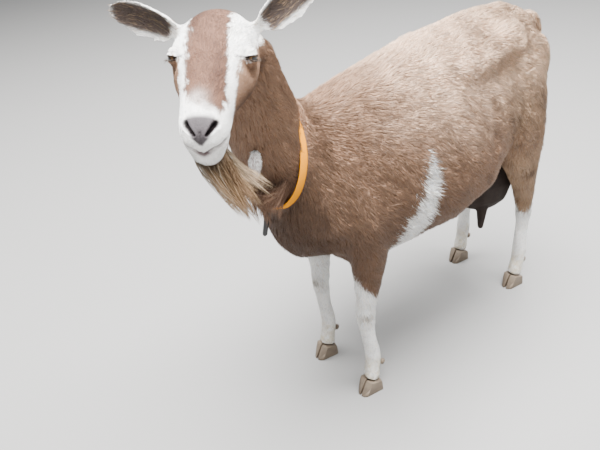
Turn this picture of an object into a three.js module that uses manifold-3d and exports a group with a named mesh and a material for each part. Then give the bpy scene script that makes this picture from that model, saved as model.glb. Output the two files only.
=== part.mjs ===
// A life-size still model of a hornless dairy doe goat, standing with her head turned to her left.
// Millimetres, +Z up. She faces -Y, so her left side is +X. All sizes are to the tips of the coat.
import * as THREE from "three";
import { mergeVertices } from "three/addons/utils/BufferGeometryUtils.js";
import Module from "manifold-3d";

const wasm = await Module();
wasm.setup();

// ---------- driving sizes ----------
const WITHERS_HEIGHT = 733; // ground to the top of the shoulders
const CROUP_HEIGHT = 782; // ground to the top of the hips
const GAP = 0.4; // the thin cut between neighbouring pieces
const CROWN = new THREE.Vector3(105, -260, 927); // top of the head, between the ears
const FACE_DIRECTION = new THREE.Vector3(0.722, -0.656, -0.22); // from the crown to the nose
const HEAD_LEFT = new THREE.Vector3(0.667, 0.741, -0.074); // from the right eye to the left one
const FORE_FOOT = { x: 88, y: 22 }; // the left forefoot, at the top of its claws
const HIND_FOOT = { x: 92, y: 589 }; // the left hind foot, at the top of its claws
const SIDES = [["left", 1], ["right", -1]];

// ---------- closed solids ----------
// A closed three.js geometry as a manifold solid, with its seam and pole vertices merged.
function solid(geometry) {
  const bare = new THREE.BufferGeometry().setAttribute("position", geometry.getAttribute("position"));
  if (geometry.index) bare.setIndex(geometry.index);
  const merged = mergeVertices(bare, 1e-3);
  const vertProperties = new Float32Array(merged.attributes.position.array);
  const triVerts = new Uint32Array(merged.index.array);
  return new wasm.Manifold(new wasm.Mesh({ numProp: 3, vertProperties, triVerts }));
}

const union = (...parts) => parts.reduce((all, part) => all.add(part));

// Smooth curve through evenly spaced values, read at t from 0 to 1.
function through(values, t) {
  const last = values.length - 1;
  const at = Math.min(Math.max(t, 0), 1) * last;
  const i = Math.min(Math.floor(at), last - 1);
  const f = at - i;
  const [a, b, c, d] = [values[Math.max(i - 1, 0)], values[i], values[i + 1], values[Math.min(i + 2, last)]];
  return b + 0.5 * f * (c - a + f * (2 * a - 5 * b + 4 * c - d + f * (3 * (b - c) + d - a)));
}

const power = (x, p) => Math.sign(x) * Math.abs(x) ** p;

// Prepares a run of stations for reading. Each station has its middle [x, y, z], its half width to the sides, how
// far it reaches up (to the front on a leg) and down (to the back), its roundness (2 is an ellipse) and its
// taper, the share by which its upper side is narrower.
function runOf(stations, sides = [[1, 0, 0], [1, 0, 0]]) {
  const read = (key, other) => stations.map((s) => s[key] ?? other);
  return {
    curve: new THREE.CatmullRomCurve3(stations.map((s) => new THREE.Vector3(...s.at)), false, "centripetal"),
    wide: read("wide"), up: read("up"), down: read("down"), round: read("round", 2), taper: read("taper", 0),
    sides: sides.map((s) => new THREE.Vector3(...s)),
  };
}

// The point of a run at t along and an angle round (0 is up), at a share of its size, grown by some millimetres.
function pointOf(run, t, angle, size = 1, grow = 0) {
  const middle = run.curve.getPoint(t);
  const tangent = run.curve.getTangent(t);
  const side = run.sides[0].clone().lerp(run.sides[1], t);
  side.addScaledVector(tangent, -side.dot(tangent)).normalize();
  const upward = tangent.clone().cross(side);
  const n = 2 / through(run.round, t);
  const high = power(Math.cos(angle), n);
  const across = power(Math.sin(angle), n) * (1 - through(run.taper, t) * high);
  middle.addScaledVector(side, size * across * (through(run.wide, t) + grow));
  middle.addScaledVector(upward, size * high * (through(high > 0 ? run.up : run.down, t) + grow));
  return middle;
}

// A closed tube along a run. Its ends are rounded over three rings; cap is the share of the run each end takes.
function tube(run, { around = 14, rings = 16, cap = 0.05, grow = 0 } = {}) {
  const geometry = new THREE.SphereGeometry(1, around, rings);
  const { position, uv } = geometry.attributes;
  const edge = 3 / rings;
  for (let i = 0; i < position.count; i++) {
    const v = 1 - uv.getY(i);
    const near = Math.min(v, 1 - v) / edge;
    const bend = (Math.min(near, 1) * Math.PI) / 2;
    const past = ((near - 1) * edge * (1 - 2 * cap)) / (1 - 2 * edge);
    const inner = near < 1 ? cap * (1 - Math.cos(bend)) : cap + past;
    const t = v < 0.5 ? inner : 1 - inner;
    const point = pointOf(run, t, 2 * Math.PI * uv.getX(i), Math.sin(bend), grow);
    point.addScaledVector(run.curve.getTangent(t), (v < 0.5 ? -grow : grow) * Math.cos(bend));
    position.setXYZ(i, point.x, point.y, point.z);
  }
  return solid(geometry);
}

// An ellipsoid turned by Euler angles in degrees.
function ball(at, radii, turn = [0, 0, 0], { around = 10, rings = 6, grow = 0 } = {}) {
  const geometry = new THREE.SphereGeometry(1, around, rings);
  const angles = new THREE.Euler(...turn.map(THREE.MathUtils.degToRad));
  geometry.scale(...radii.map((r) => r + grow));
  geometry.applyMatrix4(new THREE.Matrix4().makeRotationFromEuler(angles));
  geometry.translate(...at);
  return solid(geometry);
}

// A long block that starts at a plane through a point and runs the way the plane faces, larger all round by a gap.
// Half is its half width, and tall its half height if that is another size.
function beyond(at, facing, { half = 600, tall = half, deep = 1200, gap = 0 } = {}) {
  const geometry = new THREE.BoxGeometry(2 * (tall + gap), 2 * (half + gap), deep + 2 * gap);
  geometry.translate(0, 0, deep / 2);
  const away = new THREE.Vector3(...facing).normalize();
  geometry.applyQuaternion(new THREE.Quaternion().setFromUnitVectors(new THREE.Vector3(0, 0, 1), away));
  geometry.translate(...at);
  return solid(geometry);
}

// ---------- trunk ----------
// From the buttocks to the breast: y, top, middle and bottom heights, half width, taper.
const TRUNK = [
  [692, 680, 612, 560, 40, 0.1],
  [664, 730, 612, 500, 72, 0.2],
  [600, 768, 605, 452, 92, 0.3],
  [520, CROUP_HEIGHT, 592, 440, 100, 0.3],
  [430, CROUP_HEIGHT - 1, 565, 402, 130, 0.3],
  [330, 767, 535, 358, 168, 0.28],
  [230, 752, 522, 341, 176, 0.26],
  [130, 741, 520, 338, 156, 0.28],
  [40, WITHERS_HEIGHT, 528, 336, 128, 0.36],
  [-36, 702, 522, 336, 112, 0.3],
  [-90, 632, 500, 360, 90, 0.1],
  [-126, 572, 494, 405, 64, 0],
  [-143, 536, 492, 448, 38, 0],
];
const trunkRun = runOf(TRUNK.map(([y, top, middle, bottom, wide, taper]) => ({
  at: [0, y, middle], up: top - middle, down: middle - bottom, wide, taper, round: 2.1,
})));
const SHOULDER = { at: [71, -8, 560], radii: [42, 90, 132], turn: [-14, -12, 0] };
const HIP_BONE = { at: [46, 500, 690], radii: [38, 84, 50], turn: [8, 22, -8] };
const PIN_BONE = { at: [52, 646, 614], radii: [38, 46, 76], turn: [0, 0, 0] };

function trunkShape(grow = 0) {
  const body = tube(trunkRun, { around: 18, rings: 18, cap: 0.03, grow });
  const bones = SIDES.flatMap(([, s]) => [SHOULDER, HIP_BONE, PIN_BONE].map(({ at, radii, turn }) =>
    ball([s * at[0], at[1], at[2]], radii, [turn[0], s * turn[1], s * turn[2]], { grow })));
  return union(body, ...bones);
}

// ---------- neck ----------
const neckRun = runOf([
  { at: [0, 0, 590], wide: 92, up: 92, down: 118, taper: 0.35 },
  { at: [1, -75, 640], wide: 82, up: 74, down: 116, taper: 0.3 },
  { at: [9, -124, 700], wide: 72, up: 62, down: 102, taper: 0.22 },
  { at: [34, -168, 770], wide: 61, up: 56, down: 80, taper: 0.12 },
  { at: [68, -206, 838], wide: 54, up: 50, down: 64, taper: 0.05 },
  { at: [98, -238, 884], wide: 46, up: 36, down: 54 },
], [[1, 0, 0], HEAD_LEFT.toArray()]);
const neckShape = (grow = 0) => tube(neckRun, { around: 16, rings: 12, grow });

// ---------- head ----------
// The head's own frame: origin at the crown, -Y towards the nose, +X to her left, +Z out of the forehead.
const headLeft = HEAD_LEFT.clone().normalize();
const headBack = FACE_DIRECTION.clone().addScaledVector(headLeft, -FACE_DIRECTION.dot(headLeft));
headBack.normalize().negate();
const headUp = headLeft.clone().cross(headBack);
const headFrame = new THREE.Matrix4().makeBasis(headLeft, headBack, headUp).setPosition(CROWN);
const onHead = (shape) => shape.transform(headFrame.elements);
const headPoint = (x, ahead, z) => new THREE.Vector3(x, -ahead, z).applyMatrix4(headFrame).toArray();
const headWay = (x, ahead, z) => new THREE.Vector3(x, -ahead, z).transformDirection(headFrame).toArray();

// From the nape to the nose: distance from the crown, top, middle and bottom, half width, taper, roundness.
const HEAD = [
  [-30, -22, -44, -66, 22, 0, 2],
  [-8, -4, -42, -86, 44, 0.05, 2.1],
  [22, 4, -42, -100, 55, 0.06, 2.2],
  [52, 5, -40, -108, 59, 0.1, 2.3],
  [80, 1, -40, -110, 58, 0.14, 2.3],
  [106, -7, -45, -107, 50, 0.14, 2.3],
  [130, -14, -52, -103, 42, 0.1, 2.3],
  [154, -19, -58, -100, 35, 0.02, 2.3],
  [178, -24, -64, -105, 32, -0.06, 2.4],
  [197, -33, -67, -110, 31.5, -0.04, 2.5],
  [211, -46, -72, -106, 27, 0, 2.4],
  [218, -58, -76, -96, 17, 0, 2.2],
];
const headRun = runOf(HEAD.map(([ahead, top, middle, bottom, wide, taper, round]) => ({
  at: [0, -ahead, middle], up: top - middle, down: middle - bottom, wide, taper, round,
})));
// An eye looks out between lids: the hollow they leave is centred some way out along its gaze.
const EYE = { ahead: 80, out: 42.5, up: -31, radius: 14.5, look: [0.84, 0.52, 0.1], opening: 9 };

function headShape(grow = 0) {
  const skull = tube(headRun, { around: 14, rings: 17, cap: 0.03, grow });
  const paired = SIDES.flatMap(([, s]) => [
    ball([s * 36, -70, -25], [23, 32, 18], [0, s * 20, s * 8], { grow }), // brow
    ball([s * 34, -42, -76], [20, 44, 30], [8, 0, 0], { grow }), // cheek
    ball([s * 15, -200, -54], [12, 15, 13], [0, 0, s * 14], { grow }), // nostril wing
  ]);
  const lip = ball([0, -203, -82], [25, 15, 15], [0, 0, 0], { grow });
  const chin = ball([0, -190, -100], [25, 21, 15], [0, 0, 0], { grow });
  return onHead(union(skull, ...paired, lip, chin));
}

// An eyeball, moved some way out along its gaze.
function eyeShape(s, grow = 0, out = 0) {
  const { radius, look } = EYE;
  const middle = [s * (EYE.out + out * look[0]), -EYE.ahead - out * look[1], EYE.up + out * look[2]];
  return onHead(ball(middle, [radius, radius, radius], [0, 0, 0], { around: 12, rings: 6, grow }));
}

// ---------- ears ----------
// A leaf-shaped trough. points: the way it runs; opens: the way its hollow faces, both in the head's frame.
const EARS = {
  left: { root: [50, -20, -26], points: [0.76, 0.34, 0.5], opens: [0.3, -0.9, 0.1] },
  right: { root: [-50, -20, -26], points: [-0.914, 0.38, 0.07], opens: [-0.25, -0.92, 0] },
};
const EAR_LENGTH = 140;
const EAR_THICK = [9, 5, 3.5, 3, 2.5, 2];
const EAR_HALF_WIDTH = [15, 19, 24, 26, 24, 17];
const EAR_CUP = [1.5, 1.3, 1.05, 0.9, 0.8, 0.7]; // radians from the middle to each edge

function earShape(name) {
  const { root, points, opens } = EARS[name];
  const along = new THREE.Vector3(...points).normalize();
  const open = new THREE.Vector3(...opens);
  open.addScaledVector(along, -open.dot(along)).normalize();
  const across = open.clone().cross(along);
  const geometry = new THREE.SphereGeometry(1, 12, 10);
  const { position, uv } = geometry.attributes;
  for (let i = 0; i < position.count; i++) {
    const v = 1 - uv.getY(i);
    const angle = 2 * Math.PI * uv.getX(i);
    const size = Math.sin(Math.PI * v) ** 0.42;
    const cup = through(EAR_CUP, v);
    const radius = (through(EAR_HALF_WIDTH, v) * size) / Math.sin(Math.min(cup, Math.PI / 2));
    const turn = cup * Math.sin(angle);
    const r = radius - through(EAR_THICK, v) * size * 0.5 * Math.cos(angle);
    const place = new THREE.Vector3(...root).addScaledVector(along, (v - 0.12) * EAR_LENGTH);
    place.addScaledVector(across, r * Math.sin(turn)).addScaledVector(open, radius * 0.7 - r * Math.cos(turn));
    position.setXYZ(i, place.x, place.y, place.z);
  }
  return onHead(solid(geometry));
}

// ---------- legs ----------
// From the body to the foot, for the left side; up is towards the front. The right forefoot stands a little
// further in and back, most of all at the knee: shift is that step in, share by height.
const FORE_LEG = [
  { at: [84, -22, 560], wide: 36, up: 60, down: 62 },
  { at: [93, 6, 480], wide: 42, up: 60, down: 60, shift: 0.2 },
  { at: [96, 16, 410], wide: 41, up: 48, down: 50, shift: 0.4 },
  { at: [95, 14, 340], wide: 34, up: 36, down: 38, shift: 0.7 },
  { at: [93, 10, 282], wide: 26, up: 27, down: 27, shift: 1 },
  { at: [92, 6, 238], wide: 24, up: 25, down: 23, shift: 1 },
  { at: [90, 10, 196], wide: 20, up: 20, down: 20, shift: 0.9 },
  { at: [88, 19, 145], wide: 18.5, up: 18, down: 19, shift: 0.75 },
  { at: [87, 29, 98], wide: 22, up: 20, down: 23, shift: 0.65 },
  { at: [87, 26, 66], wide: 20, up: 18, down: 19, shift: 0.6 },
  { at: [FORE_FOOT.x, FORE_FOOT.y, 40], wide: 23, up: 21, down: 22, shift: 0.6 },
  { at: [FORE_FOOT.x, FORE_FOOT.y - 3, 20], wide: 22, up: 19, down: 22, shift: 0.6 },
];
const RIGHT_FORE_SHIFT = { inward: 22, back: 16 };
const HIND_LEG = [
  { at: [56, 584, 650], wide: 44, up: 66, down: 70 },
  { at: [76, 572, 565], wide: 44, up: 98, down: 80 },
  { at: [91, 560, 485], wide: 42, up: 104, down: 76 },
  { at: [97, 568, 415], wide: 34, up: 90, down: 66 },
  { at: [96, 584, 348], wide: 28, up: 60, down: 40 },
  { at: [92, 594, 296], wide: 25, up: 42, down: 38 },
  { at: [90, 602, 258], wide: 24, up: 31, down: 32 },
  { at: [91, 605, 205], wide: 19.5, up: 21, down: 23 },
  { at: [92, 600, 155], wide: 18.5, up: 19, down: 20 },
  { at: [93, 601, 106], wide: 22, up: 20, down: 23 },
  { at: [93, 597, 70], wide: 20, up: 18, down: 19 },
  { at: [HIND_FOOT.x, HIND_FOOT.y, 40], wide: 23, up: 20, down: 22 },
  { at: [HIND_FOOT.x, HIND_FOOT.y - 3, 20], wide: 22, up: 18, down: 22 },
];

function legShape(stations, s, grow = 0) {
  const standing = stations.map((station) => {
    const [x, y, z] = station.at;
    const step = s < 0 ? station.shift ?? 0 : 0;
    return { ...station, at: [s * (x - step * RIGHT_FORE_SHIFT.inward), y + step * RIGHT_FORE_SHIFT.back, z] };
  });
  return tube(runOf(standing), { around: 11, rings: 19, cap: 0.03, grow });
}

// ---------- hooves ----------
// One claw: a wedge with a flat sole, a sloping toe and a rounded outer wall. Its top is cut along the coronet.
const CLAW = { long: 58, wide: 21.5, high: 40, part: 1.2 };
const CORONET = { height: 31, facing: [0, 0.32, 1] };
const DEWCLAW = { out: 11, back: 25, height: 74, radii: [6, 6.5, 9], turn: [-20, 0, 0] };

// The four feet: name, side and the middle of the foot at its coronet.
const FEET = SIDES.flatMap(([name, s]) => {
  const step = s < 0 ? FORE_LEG.at(-1).shift : 0;
  const { inward, back } = RIGHT_FORE_SHIFT;
  return [
    { name: `fore_${name}`, s, x: s * (FORE_FOOT.x - step * inward), y: FORE_FOOT.y + step * back },
    { name: `hind_${name}`, s, x: s * HIND_FOOT.x, y: HIND_FOOT.y },
  ];
});
const coronetAt = (foot) => [foot.x, foot.y, CORONET.height];
const dewclawShape = (foot, way, grow = 0) => {
  const at = [foot.x + way * DEWCLAW.out, foot.y + DEWCLAW.back, DEWCLAW.height];
  return ball(at, DEWCLAW.radii, DEWCLAW.turn, { around: 6, rings: 4, grow });
};

function clawShape(foot, way) {
  const { long, wide, high, part } = CLAW;
  const side = new THREE.Shape();
  side.moveTo(-0.58 * long, 0);
  side.lineTo(0.42 * long, 0);
  side.lineTo(0.4 * long, 0.45 * high);
  side.lineTo(0.3 * long, high);
  side.lineTo(-0.22 * long, high);
  side.quadraticCurveTo(-0.42 * long, 0.62 * high, -0.58 * long, 0.1 * high);
  side.closePath();
  const options = { depth: wide, bevelEnabled: false, curveSegments: 2, steps: 2 };
  const geometry = new THREE.ExtrudeGeometry(side, options);
  const { position } = geometry.attributes;
  for (let i = 0; i < position.count; i++) {
    const [y, z, across] = [position.getX(i), position.getY(i), position.getZ(i) / wide];
    const toe = Math.max(0, -y / (0.58 * long));
    const outer = across ** 2;
    const width = across * wide * (1 - 0.42 * toe ** 2 - 0.1 * (z / high));
    position.setXYZ(i, foot.x + way * (part + width + 1.5 * toe), foot.y - 4 + y * (1 - 0.24 * outer), z);
  }
  if (way < 0) flip(geometry);
  return solid(geometry);
}

// Turns every face of a geometry round, after a mirrored mapping has turned it inside out.
function flip(geometry) {
  const { position } = geometry.attributes;
  const swap = new THREE.Vector3();
  for (let i = 0; i < position.count; i += 3) {
    swap.fromBufferAttribute(position, i);
    position.copyAt(i, position, i + 1);
    position.setXYZ(i + 1, swap.x, swap.y, swap.z);
  }
}

// ---------- tail, udder, wattles, beard ----------
const tailRun = runOf([
  { at: [0, 664, 716], wide: 24, up: 13, down: 16 },
  { at: [0, 692, 706], wide: 28, up: 11, down: 14 },
  { at: [0, 708, 676], wide: 31, up: 10, down: 12 },
  { at: [0, 714, 636], wide: 28, up: 9, down: 10 },
  { at: [0, 712, 596], wide: 14, up: 6, down: 6 },
]);
const udderRun = runOf([
  { at: [0, 548, 440], wide: 54, up: 76, down: 74 },
  { at: [0, 544, 385], wide: 68, up: 98, down: 90 },
  { at: [0, 536, 325], wide: 76, up: 98, down: 90 },
  { at: [0, 528, 276], wide: 66, up: 86, down: 78 },
  { at: [0, 524, 250], wide: 42, up: 58, down: 52 },
]);
const TEAT = [
  { at: [34, 500, 285], wide: 18 },
  { at: [38, 492, 258], wide: 15 },
  { at: [40, 488, 230], wide: 11 },
  { at: [41, 486, 206], wide: 8 },
];
// Place along the neck, place round it on each side, and size. The right one sits further round the throat.
const WATTLE = { along: 0.5, round: { 1: 0.27, [-1]: 0.75 }, long: 36, radii: [5, 8, 10.5, 9] };

const round = (stations) => stations.map((s) => ({ ...s, up: s.wide, down: s.wide }));
function teatShape(s) {
  const drop = TEAT.map(({ at: [x, y, z], wide }) => ({ at: [s * x, y, z], wide }));
  return tube(runOf(round(drop)), { around: 8, rings: 8 });
}

function wattleShape(s) {
  const [x, y, z] = pointOf(neckRun, WATTLE.along, Math.PI - s * WATTLE.round[s], 1, 4);
  const fall = WATTLE.long / (WATTLE.radii.length - 1);
  const drop = WATTLE.radii.map((wide, i) => ({ at: [x, y - 2 * i, z - fall * i], wide }));
  return tube(runOf(round(drop)), { around: 8, rings: 8, cap: 0.1 });
}

// The beard hangs from the chin and lower jaw and sweeps back against the throat, to her left.
const BEARD_SWEEP = [32, 50, -118]; // from the middle of its root to its tip
const BEARD_ROOT = headPoint(0, 176, -98);
// Share of the way down, half width and half depth.
const BEARD = [[0, 15, 26], [0.2, 17, 30], [0.45, 16, 27], [0.75, 11, 17], [1, 4, 6]];
const beardRun = runOf(BEARD.map(([share, wide, deep]) => ({
  at: BEARD_ROOT.map((b, i) => b + share * BEARD_SWEEP[i]), wide, up: deep, down: deep,
})), [headLeft.toArray(), headLeft.toArray()]);

// ---------- collar ----------
// A flat strap in a shallow groove of the coat round the base of the neck: its middle, the way its plane faces,
// and the section of the neck it goes round. A ring and a snap hook hang from it at the throat.
const COLLAR = { at: [7, -121, 638], facing: [0.02, -0.95, 0.31], width: 17, thick: 3.4 };
const COLLAR_BED = { wide: 79, up: 89, down: 108, taper: 0.24 };
const CLIP = {
  at: [5, -154, 537.5], ring: 12.5, wire: 2, hook: [[5, -155, 527], [3, -159, 501], [0, -164, 473]], radius: 5,
};

const collarBed = runOf([-60, 0, 60].map((off) => ({
  at: COLLAR.at.map((c, i) => c + off * COLLAR.facing[i]), ...COLLAR_BED,
})));

// The strap, grown by a gap. Grown far outwards as well, it is the groove it lies in.
function strapShape(gap, out) {
  const { at, facing, width, thick } = COLLAR;
  const edge = at.map((c, i) => c - (facing[i] * width) / 2);
  const bed = (grow) => tube(collarBed, { around: 24, rings: 8, grow });
  return beyond(edge, facing, { half: 170, deep: width, gap }).intersect(bed(out)).subtract(bed(-thick - gap));
}

function clipShape(grow = 0) {
  const ring = new THREE.TorusGeometry(CLIP.ring, CLIP.wire + grow, 6, 16);
  ring.rotateY(Math.PI / 2);
  ring.translate(...CLIP.at);
  const hook = runOf(round(CLIP.hook.map((at) => ({ at, wide: CLIP.radius }))));
  return union(solid(ring), tube(hook, { around: 8, rings: 8, cap: 0.1, grow }));
}

// ---------- assembly ----------
const goat = new THREE.Group();
goat.name = "goat";

const paint = (color, roughness, metalness = 0) =>
  new THREE.MeshStandardMaterial({ color, roughness, metalness });
const MATERIALS = {
  brownCoat: [0xa08370, 0.9],
  whiteCoat: [0xe6e2da, 0.9],
  tanHair: [0xb29468, 0.9],
  darkSkin: [0x3d2f2b, 0.7],
  horn: [0x5c5048, 0.6],
  eye: [0x6a5a2c, 0.1],
  webbing: [0xe8a92c, 0.6],
  blackMetal: [0x1c1c1c, 0.4, 0.6],
};

function show(name, shape, material) {
  const mesh = main(shape).getMesh();
  const geometry = new THREE.BufferGeometry();
  geometry.setAttribute("position", new THREE.BufferAttribute(mesh.vertProperties, mesh.numProp));
  geometry.setIndex(new THREE.BufferAttribute(mesh.triVerts, 1));
  geometry.computeVertexNormals();
  const piece = new THREE.Mesh(geometry, paint(...MATERIALS[material]));
  piece.name = name;
  goat.add(piece);
}

// The largest body of a solid, without slivers that a cut may leave.
function main(shape) {
  return shape.decompose().sort((a, b) => b.volume() - a.volume())[0];
}

// Where the flesh is parted: a point of each cut, the way the piece taken off lies, and the size of the cut.
const CUTS = {
  ear: { half: 60, deep: 160 },
  head: { at: headPoint(0, 25, -112), facing: headWay(0, 0.8, 0.6), half: 200, deep: 400 },
  foreleg_lower: { at: [80, 10, 212], facing: [0, 0, -1], half: 70, deep: 320 },
  foreleg_upper: { at: [88, 16, 372], facing: [0.3, 0, -0.95], half: 58, tall: 80, deep: 260 },
  hind_leg_lower: { at: [91, 600, 230], facing: [0, 0, -1], half: 70, deep: 320 },
  hind_leg_upper: { at: [56, 575, 425], facing: [1, 0, -0.15], half: 125, tall: 200, deep: 200 },
  coronet: { half: 45, deep: 90 },
  neck: { at: COLLAR.at.map((c, i) => c - 14 * COLLAR.facing[i]), facing: COLLAR.facing, half: 200, deep: 500 },
  tail: { at: [0, 697, 650], facing: [0, 1, 0.12], half: 90, deep: 100 },
};
const LEG_COLORS = {
  foreleg_lower: "whiteCoat", foreleg_upper: "brownCoat",
  hind_leg_lower: "whiteCoat", hind_leg_upper: "brownCoat",
};
const onSide = ([x, y, z], s) => [s * x, y, z];

let flesh = union(
  trunkShape(), neckShape(), headShape(), tube(tailRun, { rings: 12 }),
  ...SIDES.flatMap(([name, s]) => [legShape(FORE_LEG, s), legShape(HIND_LEG, s), earShape(name)]),
);

// Takes the piece of flesh beyond a cut off the rest, with a thin gap between them.
function take(name, material, cut) {
  show(name, flesh.intersect(beyond(cut.at, cut.facing, cut)), material);
  flesh = main(flesh.subtract(beyond(cut.at, cut.facing, { ...cut, gap: GAP })));
}

for (const [name, s] of SIDES) {
  const { root, points } = EARS[name];
  const [x, y, z] = root.map((r, i) => r + 16 * points[i]);
  const facing = headWay(points[0], -points[1], points[2]);
  take(`ear_${name}`, "whiteCoat", { at: headPoint(x, -y, z), facing, ...CUTS.ear });
}
for (const [name, s] of SIDES) {
  const eye = eyeShape(s);
  flesh = flesh.subtract(eyeShape(s, GAP)).subtract(eyeShape(s, 0.5, EYE.opening));
  show(`eye_${name}`, eye, "eye");
}
take("head", "brownCoat", CUTS.head);
for (const foot of FEET) {
  const below = CORONET.facing.map((c) => -c);
  const leg = beyond(coronetAt(foot), CORONET.facing, { ...CUTS.coronet, gap: GAP });
  for (const way of [-1, 1]) {
    const claw = clawShape(foot, way).subtract(leg);
    const place = `${foot.name}_${way * foot.s > 0 ? "outer" : "inner"}`;
    show(`claw_${place}`, claw, "horn");
    flesh = flesh.subtract(dewclawShape(foot, way, GAP));
    show(`dewclaw_${place}`, dewclawShape(foot, way), "horn");
  }
  flesh = main(flesh.subtract(beyond(coronetAt(foot), below, CUTS.coronet)));
}
for (const [name, s] of SIDES) {
  for (const [part, color] of Object.entries(LEG_COLORS)) {
    const cut = CUTS[part];
    take(`${part}_${name}`, color, { ...cut, at: onSide(cut.at, s), facing: onSide(cut.facing, s) });
  }
}
show("collar", strapShape(0, 0), "webbing");
show("collar_clip", clipShape(), "blackMetal");
flesh = flesh.subtract(strapShape(GAP, 40)).subtract(clipShape(GAP));
take("neck", "brownCoat", CUTS.neck);
take("tail", "brownCoat", CUTS.tail);
show("trunk", flesh, "brownCoat");

const udder = union(tube(udderRun, { around: 14, rings: 10 }), ...SIDES.map(([, s]) => teatShape(s)));
const around = union(trunkShape(GAP), legShape(HIND_LEG, 1, GAP), legShape(HIND_LEG, -1, GAP));
show("udder", udder.subtract(around), "darkSkin");
const beardShape = tube(beardRun, { around: 10, rings: 10 });
show("beard", beardShape.subtract(headShape(GAP)).subtract(neckShape(GAP)), "tanHair");
for (const [name, s] of SIDES) {
  show(`wattle_${name}`, wattleShape(s).subtract(headShape(GAP)).subtract(neckShape(GAP)), "whiteCoat");
}

// The origin is on the ground, under the middle of the whole animal.
const extent = new THREE.Box3().setFromObject(goat);
const middle = extent.getCenter(new THREE.Vector3());
goat.position.set(-middle.x, -middle.y, -extent.min.z);

export default goat;
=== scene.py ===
"""A dairy doe goat, life size, standing with her head turned to her left."""

import math

import bmesh
import bpy
import numpy as np
from mathutils import Matrix, Vector
from mathutils.bvhtree import BVHTree


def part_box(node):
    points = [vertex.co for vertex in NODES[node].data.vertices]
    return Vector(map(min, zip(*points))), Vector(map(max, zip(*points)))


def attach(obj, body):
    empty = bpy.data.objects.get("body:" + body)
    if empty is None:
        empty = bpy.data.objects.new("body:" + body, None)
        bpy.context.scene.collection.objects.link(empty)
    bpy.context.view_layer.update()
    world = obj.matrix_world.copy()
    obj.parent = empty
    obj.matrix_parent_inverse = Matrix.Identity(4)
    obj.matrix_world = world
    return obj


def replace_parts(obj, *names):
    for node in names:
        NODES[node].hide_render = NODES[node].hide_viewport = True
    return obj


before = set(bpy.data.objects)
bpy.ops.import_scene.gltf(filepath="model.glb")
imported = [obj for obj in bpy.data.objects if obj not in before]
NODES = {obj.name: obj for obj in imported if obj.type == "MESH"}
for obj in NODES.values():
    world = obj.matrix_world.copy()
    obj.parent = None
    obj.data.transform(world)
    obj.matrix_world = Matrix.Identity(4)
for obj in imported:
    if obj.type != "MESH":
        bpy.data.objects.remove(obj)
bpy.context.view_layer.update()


# ---------- camera ----------
# Held at the height of a person's chest, in front of the goat and on her left, and looking down along her
# back. It leans a little to one side, as a camera held in the hand does.
ZERO = np.array(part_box("claw_fore_left_outer")[0]) - (0.0892, -0.01564, 0)  # the ground between her forefeet
CAMERA_AT = Vector(ZERO + (0.83763, -0.72357, 1.09380))
CAMERA_TURN, CAMERA_DOWN, CAMERA_ROLL = 52.330, 31.0017, -5.5773  # degrees
IMAGE_WIDTH, FOCAL_PIXELS = 600, 620.02

camera = bpy.data.objects.new("camera", bpy.data.cameras.new("camera"))
bpy.context.scene.collection.objects.link(camera)
camera.data.sensor_width = 36
camera.data.lens = camera.data.sensor_width * FOCAL_PIXELS / IMAGE_WIDTH
camera.data.clip_start, camera.data.clip_end = 0.05, 50
camera.matrix_world = (
    Matrix.Translation(CAMERA_AT)
    @ Matrix.Rotation(math.radians(CAMERA_TURN), 4, "Z")
    @ Matrix.Rotation(math.radians(90 - CAMERA_DOWN), 4, "X")
    @ Matrix.Rotation(math.radians(CAMERA_ROLL), 4, "Z")
)
bpy.context.scene.camera = camera


# ---------- floor and light ----------
# A pale, plain studio floor under a wide, soft overhead light. A weaker light comes from the front, and the
# surround is pale and a little blue.
FLOOR_COLOUR = (0.24, 0.236, 0.23, 1)
SURROUND = ((0.80, 0.84, 0.90, 1), 0.36)
LIGHTS = {  # place, point it faces, side of the square, watts
    "sky": ((0.25, 0.05, 4.4), (0.0, 0.1, 0.4), 4.0, 2050),
    "front": ((1.9, -2.3, 1.9), (0.0, -0.1, 0.5), 1.6, 24),
}


def added(name, shape):
    """A new object made from a bmesh, which is then let go."""
    piece = bpy.data.objects.new(name, bpy.data.meshes.new(name))
    shape.to_mesh(piece.data)
    shape.free()
    bpy.context.scene.collection.objects.link(piece)
    return piece


floor_shape = bmesh.new()
bmesh.ops.create_grid(floor_shape, x_segments=1, y_segments=1, size=12)
floor = added("floor", floor_shape)
floor_finish = bpy.data.materials.new("floor")
floor_finish.use_nodes = True
floor_shader = floor_finish.node_tree.nodes["Principled BSDF"]
floor_shader.inputs["Base Color"].default_value = FLOOR_COLOUR
floor_shader.inputs["Roughness"].default_value = 0.9
floor.data.materials.append(floor_finish)

for name, (place, target, side, watts) in LIGHTS.items():
    lamp = bpy.data.lights.new(name, "AREA")
    lamp.shape, lamp.size, lamp.energy = "SQUARE", side, watts
    light = bpy.data.objects.new(name, lamp)
    light.location = place
    light.rotation_euler = (Vector(target) - Vector(place)).to_track_quat("-Z", "Y").to_euler()
    bpy.context.scene.collection.objects.link(light)

surround = bpy.data.worlds.new("surround")
surround.use_nodes = True
background = surround.node_tree.nodes["Background"]
background.inputs["Color"].default_value, background.inputs["Strength"].default_value = SURROUND
bpy.context.scene.world = surround


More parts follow.
